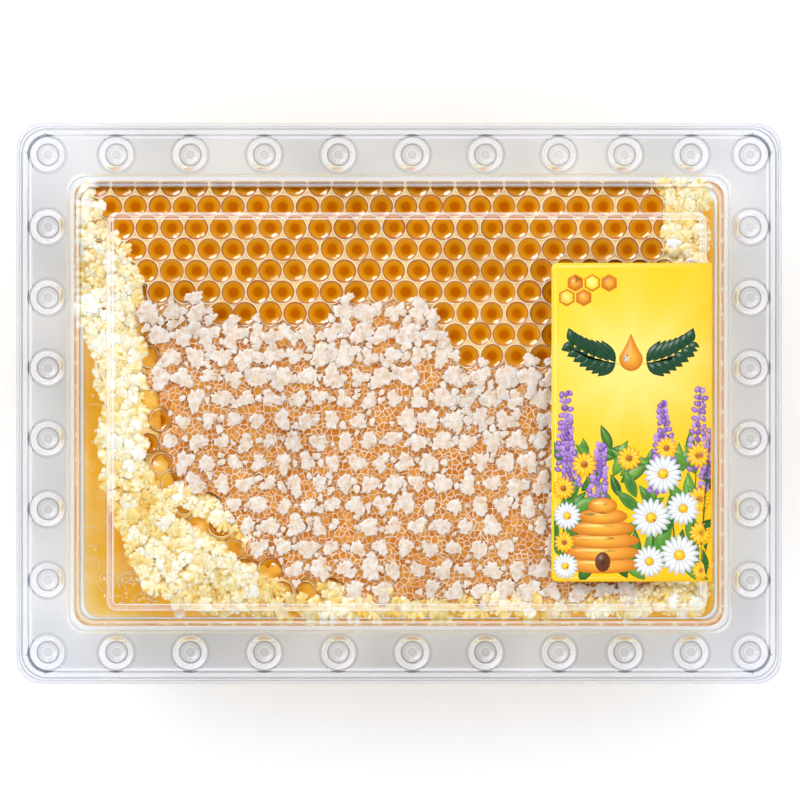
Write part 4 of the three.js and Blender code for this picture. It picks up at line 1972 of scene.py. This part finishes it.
@dataclass
class Meadow:
    """The label's print: a hive, flowers and leaves below, and a branch with a drop of honey above."""

    label: Label
    step: float = 0.00012
    laid: int = 0
    pile: MeshPile = field(default_factory=MeshPile)
    branch_place: Point = (50.8, 10.5)
    hive_place: Point = (44.6, -35.4)
    # Each of the hive's bands: how far up it is, and half its width
    hive_bands: tuple[Point, ...] = ((0.0, 8.2), (2.7, 8.5), (5.4, 8.1), (8.1, 7.1), (10.7, 5.5), (13.0, 3.2))
    # Each bank of leaves: the lowest and the highest foot, and the leaves' length
    leaf_banks: tuple[Step, ...] = ((-14.0, -8.0, 6.5), (-24.0, -14.0, 8.0), (-38.6, -26.0, 9.0))
    # Each spike's place along X, height and lean
    spikes: tuple[Step, ...] = (
        (36.0, 33, 1),
        (39.2, 26, -6),
        (42.4, 22, 5),
        (64.2, 34, 3),
        (60.4, 31, -5),
        (66.2, 25, 6),
        (55.6, 24, 4),
    )
    # Each flower's middle and radius, and whether it is a daisy
    blooms: tuple[tuple[float, float, float, bool], ...] = (
        (50.4, -12.0, 2.6, False),
        (65.6, -11.4, 2.6, False),
        (40.6, -13.4, 2.7, False),
        (58.6, -9.8, 2.4, False),
        (36.0, -18.6, 2.4, False),
        (65.8, -21.0, 2.6, False),
        (57.8, -15.4, 4.1, True),
        (62.2, -23.0, 3.6, True),
        (55.2, -25.0, 4.2, True),
        (61.4, -33.2, 4.3, True),
        (54.8, -34.6, 3.4, True),
        (36.8, -24.6, 3.0, True),
        (36.4, -35.6, 2.8, True),
        (66.0, -28.4, 2.4, False),
        (36.2, -30.4, 2.2, False),
        (66.2, -36.6, 2.0, False),
    )

    GREEN: ClassVar[Inks] = (srgb(40, 96, 36), srgb(84, 142, 46), srgb(122, 170, 62))
    DARK: ClassVar[Colour] = srgb(18, 66, 38)
    WHITE: ClassVar[Inks] = (srgb(242, 242, 236), srgb(196, 204, 208))
    SUN: ClassVar[Inks] = (srgb(255, 214, 40), srgb(236, 160, 14))
    PURPLE: ClassVar[Inks] = (srgb(138, 96, 176), srgb(178, 142, 206), srgb(112, 72, 150))
    AMBER: ClassVar[Inks] = (srgb(246, 178, 60), srgb(214, 122, 14))
    BROWN: ClassVar[Inks] = (srgb(150, 84, 10), srgb(190, 110, 12))
    DOOR: ClassVar[Inks] = (srgb(70, 34, 8), srgb(110, 56, 10))
    SHINE: ClassVar[Colour] = srgb(255, 216, 120)
    CREAM: ClassVar[Colour] = srgb(255, 240, 170)
    LEMON: ClassVar[Colour] = srgb(255, 236, 130)

    def lay(self, outline: Array, place: Point, ink: Inks) -> None:
        """Lays one thin inked shape, a hair above the one before.

        Args:
            outline: Its outline about nought.
            place: Where its nought lies.
            ink: Its colour in the middle and at the edge.
        """
        self.laid += 1
        ring = outline + place
        ring[:, 0] = np.clip(ring[:, 0], self.label.left + 0.5, self.label.right - 0.3)
        ring[:, 1] = np.clip(ring[:, 1], self.label.bottom + 0.4, self.label.top - 0.4)
        flat = np.vstack([ring.mean(axis=0), ring])
        z = self.label.height(flat[:, 0])
        upper = np.column_stack([flat, z + self.laid * self.step])
        under = np.column_stack([flat, z - 0.01])
        size = len(ring)
        faces = []
        for i in range(size):
            a, b = i + 1, (i + 1) % size + 1
            faces += [(0, a, b), (size + 1, size + 1 + b, size + 1 + a), (a, size + 1 + a, size + 1 + b, b)]
        shades = np.vstack([ink[0]] + [ink[1]] * size)
        shades = np.column_stack([shades, np.ones(size + 1)])
        self.pile.add(np.concatenate([upper, under]), faces, np.concatenate([shades, shades]))

    def flower(
        self, place: Point, reach: float, petals: int, ink: Inks, heart: Inks
    ) -> None:
        """Lays a flower.

        Args:
            place: Its middle.
            reach: Its radius.
            petals: How many petals it has.
            ink: Its petals' colours.
            heart: Its heart's colours.
        """
        for i in range(petals):
            angle = 360 * (i * 2 % petals + 0.3) / petals
            petal = turned(leaf_outline(reach, reach * 4.7 / petals, 8, 1.5, 0.55) + [reach * 0.06, 0], angle)
            self.lay(petal, place, ink)
        self.lay(round_outline((reach * 0.3, reach * 0.28)), place, heart)

    def leaf(self, place: Point, angle: float, length: float, ink: Inks) -> None:
        """Lays a leaf with a pale vein.

        Args:
            place: Its foot.
            angle: Which way it points, in degrees.
            length: Its length.
            ink: Its colours.
        """
        self.lay(turned(leaf_outline(length, length * 0.36), angle), place, ink)
        vein = np.array([(0.0, 0.0), (length * 0.9, -0.09), (length * 0.9, 0.09)])
        self.lay(turned(vein, angle), place, (self.GREEN[2], self.GREEN[2]))

    def spike(self, foot: Point, height: float, lean: float, rng: np.random.Generator) -> None:
        """Lays a stem with small flowers up its sides.

        Args:
            foot: Its foot.
            height: Its height.
            lean: How far it leans, in degrees.
            rng: The random draws.
        """
        way = np.array([math.sin(math.radians(lean)), math.cos(math.radians(lean))])
        side = np.array([way[1], -way[0]])
        stem = np.array([-0.18 * side, 0.18 * side, way * height + 0.1 * side, way * height - 0.1 * side])
        self.lay(stem, foot, (self.GREEN[1], self.GREEN[0]))
        for share in np.linspace(0.5, 1.0, 12):
            for turn in (-1, 1, 0):
                gap = side * turn * (1.3 - share) * 2.0 + rng.normal(0, 0.15, 2)
                shape = turned(round_outline((0.85, 0.6), 7), rng.uniform(0, 180))
                ink = (self.PURPLE[1 if turn else 0], self.PURPLE[rng.integers(0, 3)])
                self.lay(shape, np.add(foot, way * height * share + gap), ink)

    def hive(self, place: Point) -> None:
        """Lays a domed straw hive with a dark door.

        Args:
            place: The middle of its lowest band.
        """
        for rise, half in self.hive_bands:
            band = round_outline((half, 1.8), 22)
            self.lay(band, (place[0], place[1] + rise), self.AMBER)
            shine = round_outline((half * 0.55, 0.45), 12)
            self.lay(shine, (place[0] - half * 0.2, place[1] + rise + 0.5), (self.SHINE, self.AMBER[0]))
        self.lay(round_outline((1.7, 2.2), 14), (place[0], place[1] + 0.7), self.DOOR)

    def branch(self, place: Point, way: int) -> None:
        """Lays half of the leafy branch.

        Args:
            place: The branch's middle.
            way: The side that the half lies on, 1 for the right and -1 for the left.
        """
        dark = (self.DARK, self.DARK)
        for i in range(7):
            x = place[0] + way * (3.4 + 1.5 * i)
            y = place[1] - 1.6 + 0.085 * (i + 1) ** 2
            for turn, length in ((58, 5.8), (-38, 5.0)):
                angle = (turn if way > 0 else 180 - turn) + way * 2.0 * i
                self.lay(turned(leaf_outline(length * (1 - 0.06 * i), 2.3), angle), (x, y), dark)
        stem = np.array([(way * 2.4, -2.0), (way * 9.0, -0.75), (way * 15.2, 2.6), (way * 9.0, -1.1)])
        self.lay(stem, place, dark)

    def border(self) -> None:
        """Lays a thin pale line just inside the left, top and bottom edges."""
        label, pale = self.label, (self.CREAM,) * 2
        inset, width = 0.85, 0.16
        left, top, bottom = label.left + inset, label.top - inset, label.bottom + inset
        for x, y, reach in (
            (left, (top + bottom) / 2, (width / 2, (top - bottom) / 2 - 0.9)),
            ((left + label.right) / 2, top, ((label.right - left) / 2 - 0.9, width / 2)),
            ((left + label.right) / 2, bottom, ((label.right - left) / 2 - 0.9, width / 2)),
        ):
            self.lay(np.array([(-1, -1), (1, -1), (1, 1), (-1, 1)]) * reach, (x, y), pale)

    def sky(self) -> None:
        """Lays the cells at the top, and the branch with its drop of honey."""
        middle = self.branch_place
        for way in (-1, 1):
            self.branch(middle, way)
        drop = round_outline((2.6, 2.6), 22)
        drop[:, 1] += np.clip(drop[:, 1] / 2.6, 0, 1) ** 3 * 3.0
        drop[:, 0] *= 1 - 0.75 * np.clip((drop[:, 1] - 0.7) / 4.9, 0, 1)
        self.lay(drop, (middle[0], middle[1] - 0.8), self.AMBER)
        self.lay(round_outline((0.5, 0.9), 9), (middle[0] - 1.0, middle[1] - 0.6), (self.WHITE[0],) * 2)
        row, below = 26.4, 23.2
        for x, y, is_full in (
            (38.6, row, True),
            (42.3, row, False),
            (40.45, below, True),
            (46.0, row, True),
            (36.75, below, False),
        ):
            self.lay(round_outline((1.95, 1.95), 6, math.pi / 6), (x, y), (self.AMBER[1],) * 2)
            fill = self.AMBER if is_full else (self.LEMON, self.SUN[0])
            self.lay(round_outline((1.55, 1.55), 6, math.pi / 6), (x, y), fill)

    def meadow(self, rng: np.random.Generator) -> None:
        """Lays the leaves, the flowers and the hive.

        Args:
            rng: The random draws.
        """
        for low, high, reach in self.leaf_banks:
            for x in np.linspace(35.0, 67.8, 15):
                for _ in range(2):
                    foot = (x + rng.normal(0, 0.9), rng.uniform(low, high) - 2)
                    shades = (self.GREEN[rng.integers(0, 3)], self.GREEN[rng.integers(0, 2)])
                    self.leaf(foot, 90 + rng.uniform(-60, 60), reach * rng.uniform(0.7, 1.05), shades)
        for x, height, lean in self.spikes:
            self.spike((x, -31.0), height, lean, rng)
        self.hive(self.hive_place)
        for x, y, reach, is_daisy in self.blooms:
            if is_daisy:
                self.flower((x, y), reach, 17, self.WHITE, self.SUN)
            else:
                self.flower((x, y), reach, 13, self.SUN, self.BROWN)

    def build(self) -> Piece:
        """Makes the whole print as one piece.

        Returns:
            The print.
        """
        self.border()
        self.sky()
        self.meadow(np.random.default_rng(71))
        log.info("label print: %d shapes", self.laid)
        return self.pile.build("label_print")


def dress_label() -> None:
    """Makes the label with its print and gives both their finish."""
    finish = Printed().material()
    label = Label()
    dress(label.build_sheet(), finish, Slot.PRINT, "label")
    dress(Meadow(label).build(), finish, Slot.PRINT, "label")


# The studio


@dataclass(frozen=True)
class Lamp:
    """A soft lamp that points at the case: its place and size in metres, and its power in watts."""

    name: str
    place: Step
    size: Point
    power: float

    def build(self) -> bpy.types.Object:
        """Makes the lamp.

        Returns:
            The lamp.
        """
        lamp = bpy.data.lights.new(self.name, "AREA")
        lamp.shape = "RECTANGLE"
        lamp.size, lamp.size_y = self.size
        lamp.energy = self.power
        made = bpy.data.objects.new(self.name, lamp)
        made.location = self.place
        made.rotation_euler = (-Vector(self.place)).to_track_quat("-Z", "Y").to_euler()
        bpy.context.scene.collection.objects.link(made)
        return made


@dataclass
class Studio:
    """A plain pale floor, soft light and the camera over the case."""

    pixel: float = 0.2195
    frame_pixels: int = 800
    object_middle: Point = (399.0, 403.5)
    focus_height: float = 30.0
    camera_height: float = 1800.0
    floor_reach: float = 6.0
    floor_shades: Stops = ((0.0, (0.905, 0.927, 0.95)), (1.0, (0.93, 0.952, 0.975)))
    # From straight below to straight above: place and brightness
    sky: tuple[Point, ...] = ((0.0, 1.06), (0.25, 1.38), (0.5, 1.9), (0.75, 1.9), (0.86, 0.16), (1.0, 0.03))
    sky_blue: float = 1.015
    key: Lamp = Lamp("key", (-0.1, 0.6, 0.75), (0.4, 0.4), 1.8)
    glint: Lamp = Lamp("glint", (-0.36, 0.58, 0.7), (0.5, 0.34), 30.0)

    def make_floor(self) -> None:
        """Makes the floor."""
        mesh = bpy.data.meshes.new("floor")
        reach = self.floor_reach
        corners = [(-reach, -reach, 0), (reach, -reach, 0), (reach, reach, 0), (-reach, reach, 0)]
        mesh.from_pydata(corners, [], [(0, 1, 2, 3)])
        floor = bpy.data.objects.new("floor", mesh)
        bpy.context.scene.collection.objects.link(floor)
        graph = Graph("pale floor")
        sockets = {"Base Color": graph.ramp(graph.noise(3.0), self.floor_shades), "Roughness": 0.9}
        paper = graph.node("BsdfPrincipled", {**sockets, "Specular IOR Level": 0.1})
        mesh.materials.append(graph.end(paper.outputs[0]))
        floor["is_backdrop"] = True

    def make_world(self) -> None:
        """Makes the soft light all round, dim straight above where the camera stands."""
        world = bpy.data.worlds.new("soft room")
        world.use_nodes = True
        bpy.context.scene.world = world
        tree = world.node_tree
        tree.nodes.clear()
        coords = tree.nodes.new("ShaderNodeTexCoord")
        split = tree.nodes.new("ShaderNodeSeparateXYZ")
        ramp = tree.nodes.new("ShaderNodeValToRGB")
        back = tree.nodes.new("ShaderNodeBackground")
        out = tree.nodes.new("ShaderNodeOutputWorld")
        row = ramp.color_ramp.elements
        while len(row) < len(self.sky):
            row.new(0.5)
        for element, (place, light) in zip(row, self.sky):
            element.position = place
            element.color = (light, light, light * self.sky_blue, 1)
        tree.links.new(coords.outputs["Generated"], split.inputs[0])
        tree.links.new(split.outputs["Z"], ramp.inputs[0])
        tree.links.new(ramp.outputs[0], back.inputs[0])
        tree.links.new(back.outputs[0], out.inputs[0])

    def make_camera(self) -> None:
        """Makes the camera, which looks straight down."""
        lens = bpy.data.cameras.new("camera")
        lens.sensor_width = 36.0
        width = self.pixel * self.frame_pixels
        lens.lens = lens.sensor_width * (self.camera_height - self.focus_height) / width
        lens.clip_end = 20.0
        camera = bpy.data.objects.new("camera", lens)
        half = self.frame_pixels / 2
        x = (half - self.object_middle[0]) * self.pixel
        y = (self.object_middle[1] - half) * self.pixel
        camera.location = (x * MM, y * MM, self.camera_height * MM)
        bpy.context.scene.collection.objects.link(camera)
        bpy.context.scene.camera = camera

    def make_glint(self, clear: Sequence[Piece]) -> None:
        """Makes the lamp that glints in the honey, and keeps its glare off the clear sheets.

        Args:
            clear: The clear sheets.
        """
        glint = self.glint.build()
        glint.visible_diffuse = False
        spared = bpy.data.collections.new("without glare")
        for piece in clear:
            spared.objects.link(piece)
        for entry in spared.collection_objects:
            entry.light_linking.link_state = "EXCLUDE"
        glint.light_linking.receiver_collection = spared

    def build(self, clear: Sequence[Piece]) -> None:
        """Makes the floor, the lights and the camera.

        Args:
            clear: The clear sheets.
        """
        self.make_camera()
        self.make_floor()
        self.make_world()
        self.key.build()
        self.make_glint(clear)
        scene = bpy.context.scene
        scene.view_settings.view_transform = "Standard"
        scene.cycles.max_bounces = 16
        scene.cycles.transmission_bounces = 14
        scene.cycles.transparent_max_bounces = 24
        scene.cycles.sample_clamp_indirect = 0
        scene.cycles.use_denoising = True
        scene.cycles.caustics_reflective = False
        scene.cycles.caustics_refractive = False
        log.info("studio ready")


def write_sizes() -> None:
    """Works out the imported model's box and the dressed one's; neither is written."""
    boxes = {"cad": CAD_BOX, "visual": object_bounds()}
    plain = {name: [[float(part) for part in corner] for corner in box] for name, box in boxes.items()}


def main() -> None:
    """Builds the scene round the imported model."""
    logging.basicConfig(level=logging.INFO, format="%(name)s: %(message)s")
    form = CaseForm()
    layout = CombLayout()
    Comb(layout).dress()
    HoneyPool(form, layout).dress()
    clear = ClearPlastic().material()
    sheets = CaseTray(form).dress(clear) + CaseLid(form).dress(clear)
    dress_label()
    Studio().build(sheets)
    write_sizes()


if __name__ == "__main__":
    main()
